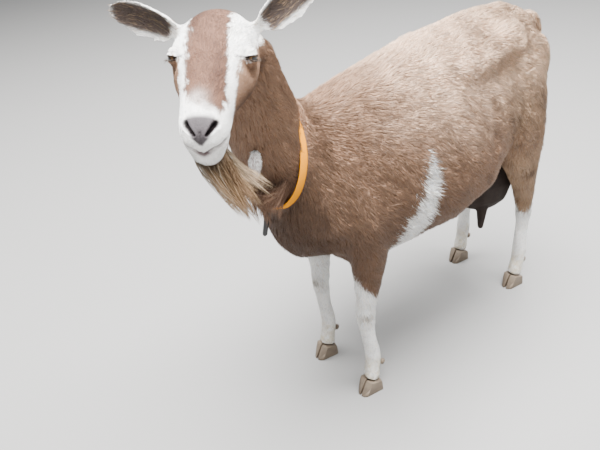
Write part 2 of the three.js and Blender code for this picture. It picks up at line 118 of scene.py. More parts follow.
# ---------- skin ----------
# One closed hide over the whole animal, with no seam, lying inside the solids by the depth of the coat.
# Folds, lids, nostrils and lips are shaped into it. Sizes are in millimetres from the ground between her
# forefeet.
FLESH = {  # parts of the hide, and the depth of the coat over each
    "head": 2.0, "ear": 1.2, "neck": 7.0, "trunk": 8.0, "tail": 6.0,
    "foreleg_upper": 4.5, "foreleg_lower": 2.5, "hind_leg_upper": 6.0, "hind_leg_lower": 2.5,
}
FILLERS = ("eye", "collar")
EAR_SWELL = 3.0  # the thin ears are swollen by this much while the hide is made, and thinned again after it
CELL = 5.5


def unit(vectors):
    return vectors / np.maximum(np.linalg.norm(vectors, axis=-1, keepdims=True), 1e-6)


CROWN = np.array((105, -260, 927.0))
LEFT, FACE = unit(np.array((0.667, 0.741, -0.074))), np.array((0.722, -0.656, -0.22))
FACE = unit(FACE - LEFT * FACE.dot(LEFT))
BROW = np.cross(LEFT, -FACE)
HEAD_AXES = np.stack((LEFT, FACE, BROW), 1)  # to her left, ahead to the nose, out of the forehead


def on_head(points):
    return (points - CROWN) @ HEAD_AXES


def off_head(points):
    return points @ HEAD_AXES.T + CROWN


def ramp(x, low, high):
    t = np.clip((x - low) / (high - low), 0, 1)
    return t * t * (3 - 2 * t)


def bell(points, middle, radii):
    """1 at a middle and falling to 0 about two radii away."""
    return np.exp(-(((points - middle) / radii) ** 2).sum(1))


def ripple(points, size, seed):
    """A smooth random pattern of about that size, between roughly -1.5 and 1.5."""
    rng = np.random.default_rng(seed)
    waves = rng.normal(size=(10, 3))
    waves *= (2 * np.pi / size * rng.uniform(0.6, 1.4, 10) / np.linalg.norm(waves, axis=1))[:, None]
    return np.sin(points @ waves.T + rng.uniform(0, 6.3, 10)).sum(1) / 3


def corners(mesh):
    co = np.empty(len(mesh.vertices) * 3)
    mesh.vertices.foreach_get("co", co)
    return (co.reshape(-1, 3) - ZERO) * 1000


def smooth(mesh):
    mesh.polygons.foreach_set("use_smooth", [True] * len(mesh.polygons))


def place_corners(mesh, points):
    mesh.vertices.foreach_set("co", (points / 1000 + ZERO).astype(np.float32).ravel())
    mesh.update()


def normals_of(mesh):
    n = np.empty(len(mesh.vertices) * 3)
    mesh.vertex_normals.foreach_get("vector", n)
    return n.reshape(-1, 3)


def edges_of(mesh):
    pairs = np.empty(len(mesh.edges) * 2, np.int64)
    mesh.edges.foreach_get("vertices", pairs)
    return pairs.reshape(-1, 2)


def eased(values, pairs, rounds, share=0.6):
    """Values of the corners, averaged with their neighbours' some times over."""
    a, b = pairs.T
    count = np.bincount(pairs.ravel(), minlength=len(values))[:, None]
    for _ in range(rounds):
        total = np.stack([np.bincount(a, v[b], len(v)) + np.bincount(b, v[a], len(v)) for v in values.T], 1)
        values = values + share * (total / np.maximum(count, 1) - values)
    return values


raw = bmesh.new()
part_names, part_of_face = list(FLESH), []
for node in sorted(NODES):
    part = next((p for p in part_names if node.startswith(p)), None)
    if part is None and not node.startswith(FILLERS) or node == "collar_clip":
        continue
    piece = bmesh.new()
    piece.from_mesh(NODES[node].data)
    bmesh.ops.remove_doubles(piece, verts=piece.verts, dist=1e-5)
    piece.normal_update()
    grow = 0.0004 + (EAR_SWELL / 1000 if part == "ear" else 0)
    for corner in piece.verts:
        corner.co += corner.normal * grow
    copy = bpy.data.meshes.new("copy")
    piece.to_mesh(copy)
    raw.from_mesh(copy)
    owner = part or ("head" if node.startswith("eye") else "neck")
    part_of_face += [part_names.index(owner)] * len(piece.faces)
    piece.free()
    bpy.data.meshes.remove(copy)
raw.faces.ensure_lookup_table()
flesh_tree = BVHTree.FromBMesh(raw)
skin = added("skin", raw)
remesh = skin.modifiers.new("remesh", "REMESH")
remesh.mode, remesh.voxel_size, remesh.use_smooth_shade = "VOXEL", CELL / 1000, True
whole = bpy.data.meshes.new_from_object(skin.evaluated_get(bpy.context.evaluated_depsgraph_get()))
skin.modifiers.clear()
skin.data = whole


def largest_shell(hide):
    """Takes away every loose scrap but the largest."""
    hide.verts.ensure_lookup_table()
    seen, best = set(), []
    for start in hide.verts:
        if start in seen:
            continue
        shell, queue = [start], [start]
        seen.add(start)
        while queue:
            for edge in queue.pop().link_edges:
                for corner in edge.verts:
                    if corner not in seen:
                        seen.add(corner)
                        shell.append(corner)
                        queue.append(corner)
        if len(shell) > len(best):
            best = shell
    kept = set(best)
    bmesh.ops.delete(hide, geom=[v for v in hide.verts if v not in kept], context="VERTS")


hide = bmesh.new()
hide.from_mesh(skin.data)
largest_shell(hide)
hide.to_mesh(skin.data)
hide.free()


def part_shares(mesh, rounds):
    """How much each corner belongs to each part of the hide, eased over the borders between them."""
    shares = np.zeros((len(mesh.vertices), len(part_names)))
    for i, corner in enumerate(mesh.vertices):
        shares[i, part_of_face[flesh_tree.find_nearest(corner.co)[2]]] = 1
    return eased(shares, edges_of(mesh), rounds)


# Drawn in by the depth of the coat. The head and ears have finer cells, finest round the eyes and muzzle.
points, pairs = corners(skin.data), edges_of(skin.data)
shares = part_shares(skin.data, 6)
ear = shares[:, part_names.index("ear")][:, None]
points = eased(points, pairs, 10, 0.5 * (1 - 0.8 * ear))
place_corners(skin.data, points)
depth = shares @ np.array(list(FLESH.values()))
points -= normals_of(skin.data) * depth[:, None]
points = eased(points, pairs, 3, 0.4 * (1 - 0.8 * ear))
place_corners(skin.data, points)
EYE_AT, EYE_RADIUS, GAZE = np.array((42.5, 80, -31.0)), 14.1, unit(np.array((0.84, 0.52, 0.1)))
FINER = (  # rounds of halving: a test in the head's frame, with both sides folded on to the left one
    lambda h: -8 < h[1] < 240 and h[0] < 68 and h[2] > -128 or h[0] > 54 and h[1] < 50 and h[2] > -75,
    lambda h: h[1] > 172 and h[2] > -118 or np.sum((h - EYE_AT) ** 2) < 25 ** 2,
    lambda h: np.sum((h - EYE_AT - 10 * GAZE) ** 2) < 15 ** 2,
)
for test in FINER:
    hide = bmesh.new()
    hide.from_mesh(skin.data)
    local = on_head(corners(skin.data))
    local[:, 0] = abs(local[:, 0])
    inside = [bool(test(h)) for h in local]
    cut = [e for e in hide.edges if inside[e.verts[0].index] and inside[e.verts[1].index]]
    bmesh.ops.subdivide_edges(hide, edges=cut, cuts=1, use_grid_fill=True)
    bmesh.ops.triangulate(hide, faces=[f for f in hide.faces if len(f.verts) > 4])
    hide.to_mesh(skin.data)
    hide.free()
points, pairs = corners(skin.data), edges_of(skin.data)
shares = part_shares(skin.data, 4)
head_share, ear_share, trunk_share = (shares[:, part_names.index(n)] for n in ("head", "ear", "trunk"))
fine = ramp(on_head(points)[:, 1], 0, 30) * ramp(head_share, 0.5, 0.9)
points = eased(points, pairs, 6, 0.5 * fine[:, None])

# The swollen ears are drawn back on to the thin blades they stand for.
ears = bmesh.new()
for node in ("ear_left", "ear_right"):
    ears.from_mesh(NODES[node].data)
bmesh.ops.remove_doubles(ears, verts=ears.verts, dist=1e-5)
bmesh.ops.subdivide_edges(ears, edges=ears.edges, cuts=2, use_grid_fill=True, smooth=1.0)
ears.normal_update()
ear_tree = BVHTree.FromBMesh(ears)
ears.free()
for i in np.flatnonzero(ear_share > 0.6):
    place, way, _, _ = ear_tree.find_nearest(Vector(points[i] / 1000 + ZERO))
    thin = (np.array(place) - ZERO) * 1000 - np.array(way) * 0.5
    points[i] += ramp(ear_share[i], 0.6, 0.97) * (thin - points[i])
points = eased(points, pairs, 2, 0.5 * ramp(ear_share, 0.2, 0.6)[:, None])


def from_line(points, line, steps=24):
    """Distance of each point from a line laid on them, and how far along it the nearest place is, 0 to 1."""
    line = np.array(line, float)
    t = np.linspace(0, len(line) - 1, steps * (len(line) - 1) + 1)
    i = np.minimum(t.astype(int), len(line) - 2)
    dots = line[i] + (t - i)[:, None] * (line[i + 1] - line[i])
    dots = np.array([points[((points - dot) ** 2).sum(1).argmin()] for dot in dots])
    dots[1:-1] = (dots[:-2] + dots[1:-1] + dots[2:]) / 3
    best, along = np.full(len(points), 1e9), np.zeros(len(points))
    for dot, place in zip(dots, t / t[-1]):
        far = ((points - dot) ** 2).sum(1)
        nearer = far < best
        best[nearer], along[nearer] = far[nearer], place
    return np.sqrt(best), along


def both_sides(rows):
    return [[(s * x, y, z) for x, y, z in rows] for s in (1, -1)]


# Lumps and hollows of the body: place, radii and height, in millimetres, on both sides.
BODY_FORMS = (
    ((112, 400, 625), (70, 90, 44), -12),  # hollow under the loin
    ((128, 380, 600), (50, 50, 40), -4),
    ((60, 500, 712), (26, 34, 22), 4),  # point of the hip
    ((108, 20, 470), (24, 46, 34), 4),  # muscle over the elbow
    ((90, -60, 600), (30, 22, 60), -5),  # groove in front of the shoulder
    ((120, 520, 500), (30, 60, 70), 5),  # thigh
    ((97, -12, 238), (14, 10, 18), 1.5),  # knee
)
LOIN_EDGE = [(100, 299, 690), (95, 359, 687), (88, 421, 683), (80, 490, 683), (76, 556, 682)]
LOIN_TROUGH = [(114, 310, 662), (108, 377, 654), (100, 445, 645), (94, 520, 645)]
FLANK_FOLD = [(128, 405, 600), (142, 375, 566), (160, 340, 530), (172, 316, 492)]
place_corners(skin.data, points)
shift = np.zeros(len(points))
for place, radii, height in BODY_FORMS:
    for s in (1, -1):
        shift += height * bell(points, np.array(place) * (s, 1, 1), radii)
for line in both_sides(LOIN_EDGE):
    shift += 8 * np.exp(-((from_line(points, line)[0] / 13) ** 2))
for line in both_sides(LOIN_TROUGH):
    shift -= 9 * np.exp(-((from_line(points, line)[0] / 19) ** 2))
for line in both_sides(FLANK_FOLD):
    shift -= 5 * np.exp(-((from_line(points, line)[0] / 13) ** 2))
shift += trunk_share * 1.1 * ripple(points, 70, 3)

# Lumps and hollows of the head, in its own frame, on both sides.
HEAD_FORMS = (
    ((45, 70, -12), (9, 15, 6), 2.0),  # rim of the brow
    ((50, 50, -30), (10, 14, 12), -1.5),  # temple
    ((41, 104, -33), (5, 12, 4), -1.2),  # tear groove
    ((42, 100, -58), (9, 24, 9), 2.0),  # crest of the cheek
    ((36, 132, -78), (10, 20, 14), -2.5),  # hollow of the cheek
    ((17, 203, -52), (8, 10, 8), 1.5),  # wing of the nostril
    ((14, 216, -66), (12, 8, 8), 1.5),  # upper lip
    ((8, 213, -93), (12, 8, 7), 1.5),  # lower lip
    ((6, 192, -105), (16, 20, 11), 2.2),  # chin
)
NOSTRIL = [(18.5, 207, -45.5), (16, 211.5, -47), (12, 216, -49.5), (8, 219, -54)]
PHILTRUM = [(0, 220, -50), (0, 223, -58), (0, 223, -68)]
MOUTH = [(-33, 166, -82), (-32, 185, -76), (-27, 206, -72), (-17, 219, -76), (-8, 220, -82), (0, 218, -85),
         (8, 220, -82), (17, 219, -76), (27, 206, -72), (32, 185, -76), (33, 166, -82)]
local = on_head(points)
for place, radii, height in HEAD_FORMS:
    for s in (1, -1):
        shift += height * head_share * bell(local, np.array(place) * (s, 1, 1), radii)
place_corners(skin.data, points)
points = points + normals_of(skin.data) * shift[:, None]
place_corners(skin.data, points)

normal, local = normals_of(skin.data), on_head(points)
nostril_shade_mask, lip_mark = np.zeros(len(points)), np.zeros(len(points))
muzzle = local[:, 1] > 150
for line in both_sides(NOSTRIL):
    line = [local[np.argmin(np.sum((local - np.array(place)) ** 2, axis=1))] for place in line]
    far, along = from_line(local[muzzle], line)
    width = 3.6 - 1.9 * along
    pit = 1 - ramp(far, 0.35 * width, 1.25 * width)
    rim = np.exp(-(((far - 1.9 * width) / (0.8 * width)) ** 2))
    points[muzzle] += normal[muzzle] * (0.6 * rim - 8 * pit)[:, None]
    # Painted shade in the nostril openings, dark round each slit.
    nostril_shade_mask[muzzle] = np.maximum(nostril_shade_mask[muzzle], 1 - ramp(far, 0.7 * width, 1.6 * width))
far, along = from_line(local[muzzle], PHILTRUM)
points[muzzle] -= normal[muzzle] * (1.4 * np.exp(-((far / 1.3) ** 2)))[:, None]
far, along = from_line(local[muzzle], MOUTH)
middle = 1 - abs(2 * along - 1)
lip_depth = 1.8 + 2.2 * ramp(middle, 0.1, 0.7)
points[muzzle] -= normal[muzzle] * (lip_depth * np.exp(-((far / 1.9) ** 2)))[:, None]
under = ramp(-local[muzzle, 2] - np.interp(abs(local[muzzle, 0]), (0, 8, 17, 27), (85, 82, 76, 72)), -1, 1.5)
lip_mark[muzzle] = np.exp(-((far / (2.2 + 2.6 * under)) ** 2)) * (0.4 + 0.6 * ramp(middle, 0.25, 0.75))
# Painted shade in the crease where the lips meet.
mouth_crease_shade = np.zeros(len(points))
mouth_crease_shade[muzzle] = np.exp(-((far / 1.1) ** 2)) * (0.5 + 0.5 * middle)
nostril_shade = ramp(nostril_shade_mask, 0, 1)

# Eyelids: the hide is drawn over the ball of the eye and let in behind it along an almond-shaped opening.
SLIT_TILT, SLIT_HALF, UPPER_LID, LOWER_LID = math.radians(24), 13.6, 1.9, 3.0
LID = 1.3
lid_rim_and_lash_shadow = np.zeros(len(points))
eye_frames = {}
for s in (1, -1):
    gaze, centre = GAZE * (s, 1, 1), EYE_AT * (s, 1, 1)
    back = np.array((0, -math.cos(SLIT_TILT), -math.sin(SLIT_TILT)))  # from the front corner to the back one
    back = unit(back - gaze * back.dot(gaze))
    up = np.cross(back, gaze) * (-s)
    eye_frames[s] = (centre, np.stack((back, up, gaze), 1))
    away = local - centre
    radius = np.linalg.norm(away, axis=1)
    near = radius < 30
    ray = away[near] / radius[near, None]
    facing = ray @ gaze
    h, v = ray @ back * (EYE_RADIUS + LID), ray @ up * (EYE_RADIUS + LID)
    arch = np.maximum(1 - (h / SLIT_HALF) ** 2, -3)
    inside = np.minimum(UPPER_LID * arch + 0.4 - v, v + LOWER_LID * arch)
    inside[facing < 0.1] = -20
    lid_rim, lid_crease = np.exp(-(((inside + 1.2) / 0.9) ** 2)), np.exp(-(((inside + 5.0) / 1.3) ** 2))
    lid = EYE_RADIUS + LID + 0.4 * lid_rim - 0.6 * lid_crease
    target = lid + ramp(inside, -0.15, 0.55) * (EYE_RADIUS - 3 - lid)
    hold = ramp(facing, math.cos(math.radians(75)), math.cos(math.radians(50)))
    new = radius[near] + hold * (target - radius[near])
    points[near] = off_head(centre + ray * new[:, None])
    # The lid rims and the tear corner are dark, and the band above the opening is broadened by painted shadow
    # of the lashes and upper lid.
    rim_and_lash_shadow = ramp(inside + 0.8 * (v > 0), -2.2, -0.9)
    corner = np.exp(-(((h + SLIT_HALF + 3) / 5.5) ** 2) - ((v + 0.8) / 1.3) ** 2) * (facing > 0)
    lid_rim_and_lash_shadow[near] = np.maximum(lid_rim_and_lash_shadow[near], np.maximum(rim_and_lash_shadow * hold, corner))
place_corners(skin.data, points)
smooth(skin.data)


# ---------- markings, with painted light and shade ---
# Fawn, paler along her back and darker below, with white stripes down the face, a white muzzle, white
# stockings and a white slash on the left flank. The paler back is partly painted light from above, and the
# dark below, on the chest, at the throat and in the hollow under the loin is partly painted shade. Skin and
# hair take their colour from the same rules of place.
FAWN, PALE, DARK = (0.268, 0.156, 0.096), (0.70, 0.485, 0.34), (0.085, 0.048, 0.03)
BLAZE, RUSTY = (0.132, 0.068, 0.044), (0.066, 0.032, 0.021)
STRAW, WHITE, EAR_LINING = (0.46, 0.315, 0.195), (0.90, 0.88, 0.85), (0.115, 0.088, 0.076)
# The second colour here is painted shade for the nostrils and the mouth crease.
NOSE, NOSTRIL_AND_MOUTH_SHADE = (0.042, 0.034, 0.038), (0.02, 0.015, 0.016)
# The second colour here is the dark lid rims, with painted lash shadow.
LIP, LID_RIM_AND_LASH_SHADOW = (0.15, 0.098, 0.1), (0.022, 0.016, 0.013)
CALLUS, STAIN = (0.20, 0.15, 0.09), (0.62, 0.52, 0.32)
STOCKINGS = (  # leg, place of its joint across and along her, top of the white there, slope of its border
    ("foreleg", 95, 10, 316, (0.78, 0.78)),
    ("hind_leg", 91, 602, 274, (1.3, -0.75)),
)
CALLUSES = ((109, -9, 241), (-72, 6, 241))

# Outlines of the marks: places along each one, then its middle or its half width at each of those places.
SLASH_MIDDLE = ((340, 433, 457, 486, 513, 540, 572), (70, 98, 106, 120, 131, 139, 142))
SLASH_HALF = ((340, 400, 433, 457, 486, 513, 540, 560, 580), (24, 37, 34, 30, 22, 17, 14, 9, 0))
BLAZE_MIDDLE = ((30, 60, 100, 139, 173, 190), (-6, -5, -2, 1, 2, 4))
BLAZE_HALF = ((-30, 60, 100, 139, 173, 190), (30, 26, 26, 25, 23, 17))
CHEEK_LINE = ((-20, 60, 88, 99, 115, 132, 148, 160, 168, 176),
              (-60, -31, -27, -24, -27, -35, -46, -60, -80, -140))
LEATHER_HALF = ((33, 39, 46, 55, 64, 71), (12, 18, 17.5, 12, 4, 0.5))
EAR_HALF = ((0, 0.2, 0.4, 0.6, 0.8, 0.95, 1), (15, 19, 24, 26, 24, 15, 4))


def mixed(base, colour, share):
    return base + share[:, None] * (np.array(colour) - base)


def markings_with_painted_light(p, shares, ear_inside):
    """The colour of the coat at points in millimetres, with painted light along the back and painted shade
    below.
    """
    part = {name: shares[:, i] for i, name in enumerate(part_names)}
    h = on_head(p)
    side, ahead, high = h.T
    x, y, z = p.T
    edge = 2.2 * ripple(p, 16, 11) + 1.4 * ripple(p, 6, 12)
    colour = np.empty_like(p)
    colour[:] = FAWN
    body = part["trunk"] + part["neck"] + part["hind_leg_upper"] + part["foreleg_upper"] + part["tail"]
    # Darker low on the front of the body and on the chest: partly darker coat, partly painted shade where the
    # light from above doesn't reach.
    low = 1 - ramp(z + 14 * ripple(p, 120, 4), 400, 640)
    colour = mixed(colour, DARK, 0.65 * low * body * (1 - ramp(y, 130, 400)))
    dark_chest_and_shade = ramp(-y - 0.25 * z + 8 * ripple(p, 60, 10), -75, -5) * ramp(z, 700, 520) * body
    colour = mixed(colour, DARK, 0.92 * dark_chest_and_shade)
    # Paler along the back: partly paler coat, partly painted light from above.
    back = ramp(z + 0.08 * y + 12 * ripple(p, 90, 5), 540, 715) * body
    back *= ramp(y + 15 * ripple(p, 70, 15), -30, 240)
    colour = mixed(colour, PALE, 0.95 * back)
    hindquarters = ramp(y + 20 * ripple(p, 110, 6), 330, 560) * ramp(z, 380, 600) * body
    colour = mixed(colour, STRAW, 0.6 * hindquarters * (1 - 0.5 * back))
    thigh = part["hind_leg_upper"]
    colour = mixed(colour, DARK, 0.28 * thigh * np.exp(-(((z - 560) / 70) ** 2)))
    colour = mixed(colour, STRAW, 0.45 * thigh * ramp(z, 480, 400))
    dark_patches_and_trough_shade = np.clip(ripple(p, 55, 7) - 0.3, 0, 1) * body * ramp(y, 40, 240)
    dark_patches_and_trough_shade += 0.8 * np.clip(ripple(p, 30, 16) - 0.35, 0, 1) * ramp(y, 380, 460) * ramp(z, 720, 640) * body
    # Darker in the hollow under the loin edge: partly darker hair, partly painted shade under the shelf.
    dark_patches_and_trough_shade += 0.55 * bell(np.stack((abs(x), y, z), 1), np.array((106, 410, 652)), (28, 120, 20))
    colour = mixed(colour, DARK, 0.5 * dark_patches_and_trough_shade * (1 - 0.5 * back))

    # The flank slash, wide and low in front and running up to a point behind.
    from_border = np.interp(z, *SLASH_HALF) - abs(y - np.interp(z, *SLASH_MIDDLE))
    slash = ramp(from_border + edge, -1.5, 2) * ramp(x, 12, 40) * ramp(z, 338, 352)
    slash *= (z < 590) * part["trunk"]
    colour = mixed(colour, WHITE, slash)

    # Stockings, with a wedge of brown running down the outside of each leg.
    for name, knee_x, knee_y, top, slant in STOCKINGS:
        leg = part[name + "_upper"] + part[name + "_lower"]
        shift_x = np.where((x < 0) & (y < 300), 22.0, 0)
        outward = (abs(x) - knee_x + shift_x) * slant[0] + (y - knee_y) * slant[1]
        border = top - 1.15 * outward
        colour = mixed(colour, WHITE, ramp(border - z + 2 * edge, -4, 5) * ramp(leg, 0.3, 0.7))
    lower = part["foreleg_lower"] + part["hind_leg_lower"]
    dirt = ramp(130 - z + 18 * ripple(p, 30, 8), 0, 60) * (0.35 + 0.3 * ripple(p, 12, 9))
    colour = mixed(colour, STAIN, np.clip(dirt, 0, 0.7) * ramp(lower, 0.3, 0.7))
    for knee in CALLUSES:
        colour = mixed(colour, CALLUS, 0.9 * bell(p, np.array(knee), (15, 15, 8)))

    # The face: a brown blaze between white stripes, brown cheeks, and white over the whole muzzle and chin.
    head = ramp(part["head"], 0.35, 0.65)
    from_border = np.interp(ahead, *BLAZE_HALF) - abs(side - np.interp(ahead, *BLAZE_MIDDLE))
    blaze = ramp(from_border + edge, -2, 2.5)
    blaze *= 1 - ramp(ahead - 0.35 * side + 3 * ripple(p, 14, 13), 181, 199)
    cheek = ramp(np.interp(ahead, *CHEEK_LINE) - high + 1.5 * edge, -2, 3)
    cheek *= 1 - ramp(ahead + edge, 168, 176)
    nape = 1 - ramp(ahead + 0.12 * abs(side) + edge, -16, -6)
    face = np.empty_like(p)
    face[:] = WHITE
    face = mixed(face, FAWN, np.maximum(cheek, nape))
    # The cheeks darken towards the jaw: partly darker coat, partly painted shade under the jaw.
    face = mixed(face, DARK, cheek * (0.2 + 0.45 * ramp(-high, 35, 85)))
    blaze *= high > -60
    face = mixed(face, BLAZE, blaze)
    rusty = bell(h[:, :2], np.array((15, 140)), (9, 38)) + bell(h[:, :2], np.array((-24, 40)), (8, 34))
    rusty += 0.4 * ramp(ripple(p, 22, 14), -0.2, 1)
    face = mixed(face, RUSTY, blaze * np.clip(0.75 * rusty, 0, 0.85))
    face = mixed(face, WHITE, 0.3 * blaze * bell(h[:, :2], np.array((-8, 182)), (12, 12)))
    colour = mixed(colour, face, head)
    # Darker under the jaw at the throat: partly darker coat, partly painted shade behind the beard.
    throat = bell(h, np.array((0, 118, -128)), (40, 62, 22))
    colour = mixed(colour, DARK, 0.7 * throat)

    # White ears with a dark lining.
    blade = ramp(part["ear"], 0.3, 0.6)
    colour = mixed(colour, WHITE, blade)
    colour = mixed(colour, EAR_LINING, blade * ear_inside)
    return np.clip(colour, 0.01, 0.95)


# Which way each ear grows from its root, and which way its hollow opens, in the head's frame.
EAR_ROOT, EAR_LONG = (50, 20, -26), 140
EAR_WAYS = {1: ((0.76, -0.34, 0.5), (0.3, 0.9, 0.1)), -1: ((-0.914, -0.38, 0.07), (-0.25, 0.92, 0))}


def in_ear(p, normal):
    """Share along the ear, share out from its middle line, and 1 on its hollow side; all in one array."""
    h, n = on_head(p), normal @ HEAD_AXES
    out = np.zeros((len(p), 3))
    for s, (way, opens) in EAR_WAYS.items():
        way = unit(np.array(way))
        opens = unit(np.array(opens) - way * np.dot(opens, way))
        across = np.cross(opens, way)
        from_root = h - np.array(EAR_ROOT) * (s, 1, 1)
        mine = h[:, 0] * s > 0
        along = from_root @ way / EAR_LONG + 0.12
        out_share = abs(from_root @ across) / np.interp(along, *EAR_HALF)
        values = np.stack((along, out_share, ramp(n @ opens, -0.1, 0.25)), 1)
        out[mine] = values[mine]
    return out


def lining(ear_place):
    along, out, hollow = ear_place.T
    return hollow * (1 - ramp(out, 0.62, 0.82)) * ramp(along, 0.1, 0.24) * (1 - ramp(along, 0.88, 0.96))


points, pairs = corners(skin.data), edges_of(skin.data)
normal = normals_of(skin.data)
shares = part_shares(skin.data, 5)
ear_place = in_ear(points, normal)
colour = markings_with_painted_light(points, shares, lining(ear_place))
local = on_head(points)
from_border = np.interp(-local[:, 2], *LEATHER_HALF) - abs(local[:, 0])
leather = ramp(from_border, -2, 2.5) * ramp(local[:, 1], 196, 206)
leather *= ramp(head_share, 0.5, 0.9) * ramp(-local[:, 2], 33, 39) * (1 - ramp(-local[:, 2], 65, 72))
colour = mixed(colour, NOSE, 0.97 * leather)
colour = mixed(colour, LIP, np.clip(1.2 * lip_mark, 0, 0.95))
# Painted shade in the mouth crease and in the nostrils.
colour = mixed(colour, NOSTRIL_AND_MOUTH_SHADE, 0.7 * mouth_crease_shade)
colour = mixed(colour, NOSTRIL_AND_MOUTH_SHADE, nostril_shade)
# Dark lid rims with painted lash shadow.
colour = mixed(colour, LID_RIM_AND_LASH_SHADOW, lid_rim_and_lash_shadow)
bare = np.clip(leather + lip_mark + nostril_shade + lid_rim_and_lash_shadow, 0, 1)


def store(mesh, name, values):
    """Keeps a colour or a number for each corner of a mesh."""
    if values.ndim == 2:
        layer = mesh.color_attributes.new(name, "FLOAT_COLOR", "POINT")
        opaque = np.column_stack((values, np.ones(len(values))))
        layer.data.foreach_set("color", opaque.astype(np.float32).ravel())
    else:
        layer = mesh.attributes.new(name, "FLOAT", "POINT")
        layer.data.foreach_set("value", values.astype(np.float32))


store(skin.data, "coat", colour)
store(skin.data, "bare", bare)
bpy.context.view_layer.objects.active = skin
skin.select_set(True)
bpy.ops.object.mode_set(mode="EDIT")
bpy.ops.mesh.select_all(action="SELECT")
bpy.ops.uv.smart_project(angle_limit=1.15, island_margin=0.002)
bpy.ops.object.mode_set(mode="OBJECT")
skin.select_set(False)
skin.data.uv_layers[0].name = "OFBake"


def pattern_group(name, colours, numbers):
    """A node group, still to be filled, that takes colours and numbers and puts out a colour and a height."""
    group = bpy.data.node_groups.new(name, "ShaderNodeTree")
    for sockets, kind in ((colours, "NodeSocketColor"), (numbers, "NodeSocketFloat")):
        for socket in sockets:
            group.interface.new_socket(socket, in_out="INPUT", socket_type=kind)
    group.interface.new_socket("Colour", in_out="OUTPUT", socket_type="NodeSocketColor")
    group.interface.new_socket("Height", in_out="OUTPUT", socket_type="NodeSocketFloat")
    return group, group.nodes.new("NodeGroupInput"), group.nodes.new("NodeGroupOutput")


def tint_group():
    """A colour broken up by fine speckle, as hairs of slightly different shades do."""
    group, source, result = pattern_group("hair_tint", ("Colour",), ("Size", "Amount"))
    nodes, link = group.nodes, group.links.new
    place, noise = nodes.new("ShaderNodeTexCoord"), nodes.new("ShaderNodeTexNoise")
    span, scaled = nodes.new("ShaderNodeMapRange"), nodes.new("ShaderNodeMix")
    low, high = nodes.new("ShaderNodeMath"), nodes.new("ShaderNodeMath")
    noise.inputs["Detail"].default_value = 3
    low.operation, low.inputs[0].default_value = "SUBTRACT", 1
    high.operation, high.inputs[0].default_value = "ADD", 1
    scaled.data_type, scaled.blend_type = "RGBA", "MULTIPLY"
    scaled.inputs["Factor"].default_value = 1
    link(place.outputs["Object"], noise.inputs["Vector"])
    link(source.outputs["Size"], noise.inputs["Scale"])
    link(source.outputs["Amount"], low.inputs[1])
    link(source.outputs["Amount"], high.inputs[1])
    link(noise.outputs["Fac"], span.inputs["Value"])
    span.inputs["From Min"].default_value, span.inputs["From Max"].default_value = 0.3, 0.7
    link(low.outputs[0], span.inputs["To Min"])
    link(high.outputs[0], span.inputs["To Max"])
    link(source.outputs["Colour"], scaled.inputs["A"])
    link(span.outputs["Result"], scaled.inputs["B"])
    link(scaled.outputs["Result"], result.inputs["Colour"])
    link(noise.outputs["Fac"], result.inputs["Height"])
    return group


def patterned(name, group, values, bump, strength, roughness, specular):
    """A material that takes its colour and its fine relief from a node group, and the group's node in it."""
    finish = bpy.data.materials.new(name)
    finish.use_nodes = True
    nodes, link = finish.node_tree.nodes, finish.node_tree.links.new
    pattern, relief = nodes.new("ShaderNodeGroup"), nodes.new("ShaderNodeBump")
    shader = nodes["Principled BSDF"]
    pattern.node_tree = group
    for socket, value in values.items():
        pattern.inputs[socket].default_value = value
    relief.inputs["Distance"].default_value, relief.inputs["Strength"].default_value = bump, strength
    shader.inputs["Roughness"].default_value = roughness
    shader.inputs["Specular IOR Level"].default_value = specular
    link(pattern.outputs["Colour"], shader.inputs["Base Color"])
    link(pattern.outputs["Height"], relief.inputs["Height"])
    link(relief.outputs["Normal"], shader.inputs["Normal"])
    return finish, pattern


hair_tint = tint_group()


def hair_finish(name, speckle, amount, bump, roughness=0.62, specular=0.25):
    """A dull, finely speckled finish that takes its colour from the piece's own coat colours."""
    values = {"Size": speckle, "Amount": amount}
    finish, tint = patterned(name, hair_tint, values, bump, 0.6, roughness, specular)
    coat = finish.node_tree.nodes.new("ShaderNodeAttribute")
    coat.attribute_name = "coat"
    finish.node_tree.links.new(coat.outputs["Color"], tint.inputs["Colour"])
    return finish


skin_finish = hair_finish("short_coat", 900, 0.22, 0.0006, specular=0.09)
nodes, link = skin_finish.node_tree.nodes, skin_finish.node_tree.links.new
bareness, wetness = nodes.new("ShaderNodeAttribute"), nodes.new("ShaderNodeMapRange")
bareness.attribute_name = "bare"
wetness.inputs["To Min"].default_value, wetness.inputs["To Max"].default_value = 0.75, 0.5
link(bareness.outputs["Fac"], wetness.inputs["Value"])
link(wetness.outputs["Result"], nodes["Principled BSDF"].inputs["Roughness"])
skin.data.materials.clear()
skin.data.materials.append(skin_finish)
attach(skin, "root")
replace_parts(skin, *[n for n in NODES if n.startswith(tuple(FLESH))])


# ---------- lie of the coat ----------
# Hair lies back from the muzzle over the head, down the neck, back and down over the body, and down the
# legs. Each part has its own length, width and height of hair, and so many tufts to the square centimetre.
DOWN, BACK = np.array((0, 0, -1.0)), np.array((0, 1.0, 0))
NECK_WAY = np.array((-98, 238, -310.0)) / 404
HAIR = {  # length, width, height at the middle and at the tip, in millimetres; tufts on a square centimetre
    "head": (6.4, 0.44, 0.42, 0.75, 54),
    "ear": (8, 0.5, 0.5, 0.9, 34),
    "neck": (24, 0.92, 2.0, 3.6, 23),
    "trunk": (28, 1.12, 2.6, 4.8, 16),
    "tail": (34, 1.4, 3, 4.6, 18),
    "foreleg_upper": (15, 0.95, 2.0, 3.4, 20),
    "foreleg_lower": (8, 0.72, 0.8, 1.4, 25),
    "hind_leg_upper": (20, 1.12, 2.5, 4.4, 15),
    "hind_leg_lower": (8, 0.72, 0.8, 1.4, 25),
}


def level(vectors, normal):
    """Vectors laid flat on the surface and made one long."""
    return unit(vectors - normal * (vectors * normal).sum(1)[:, None])


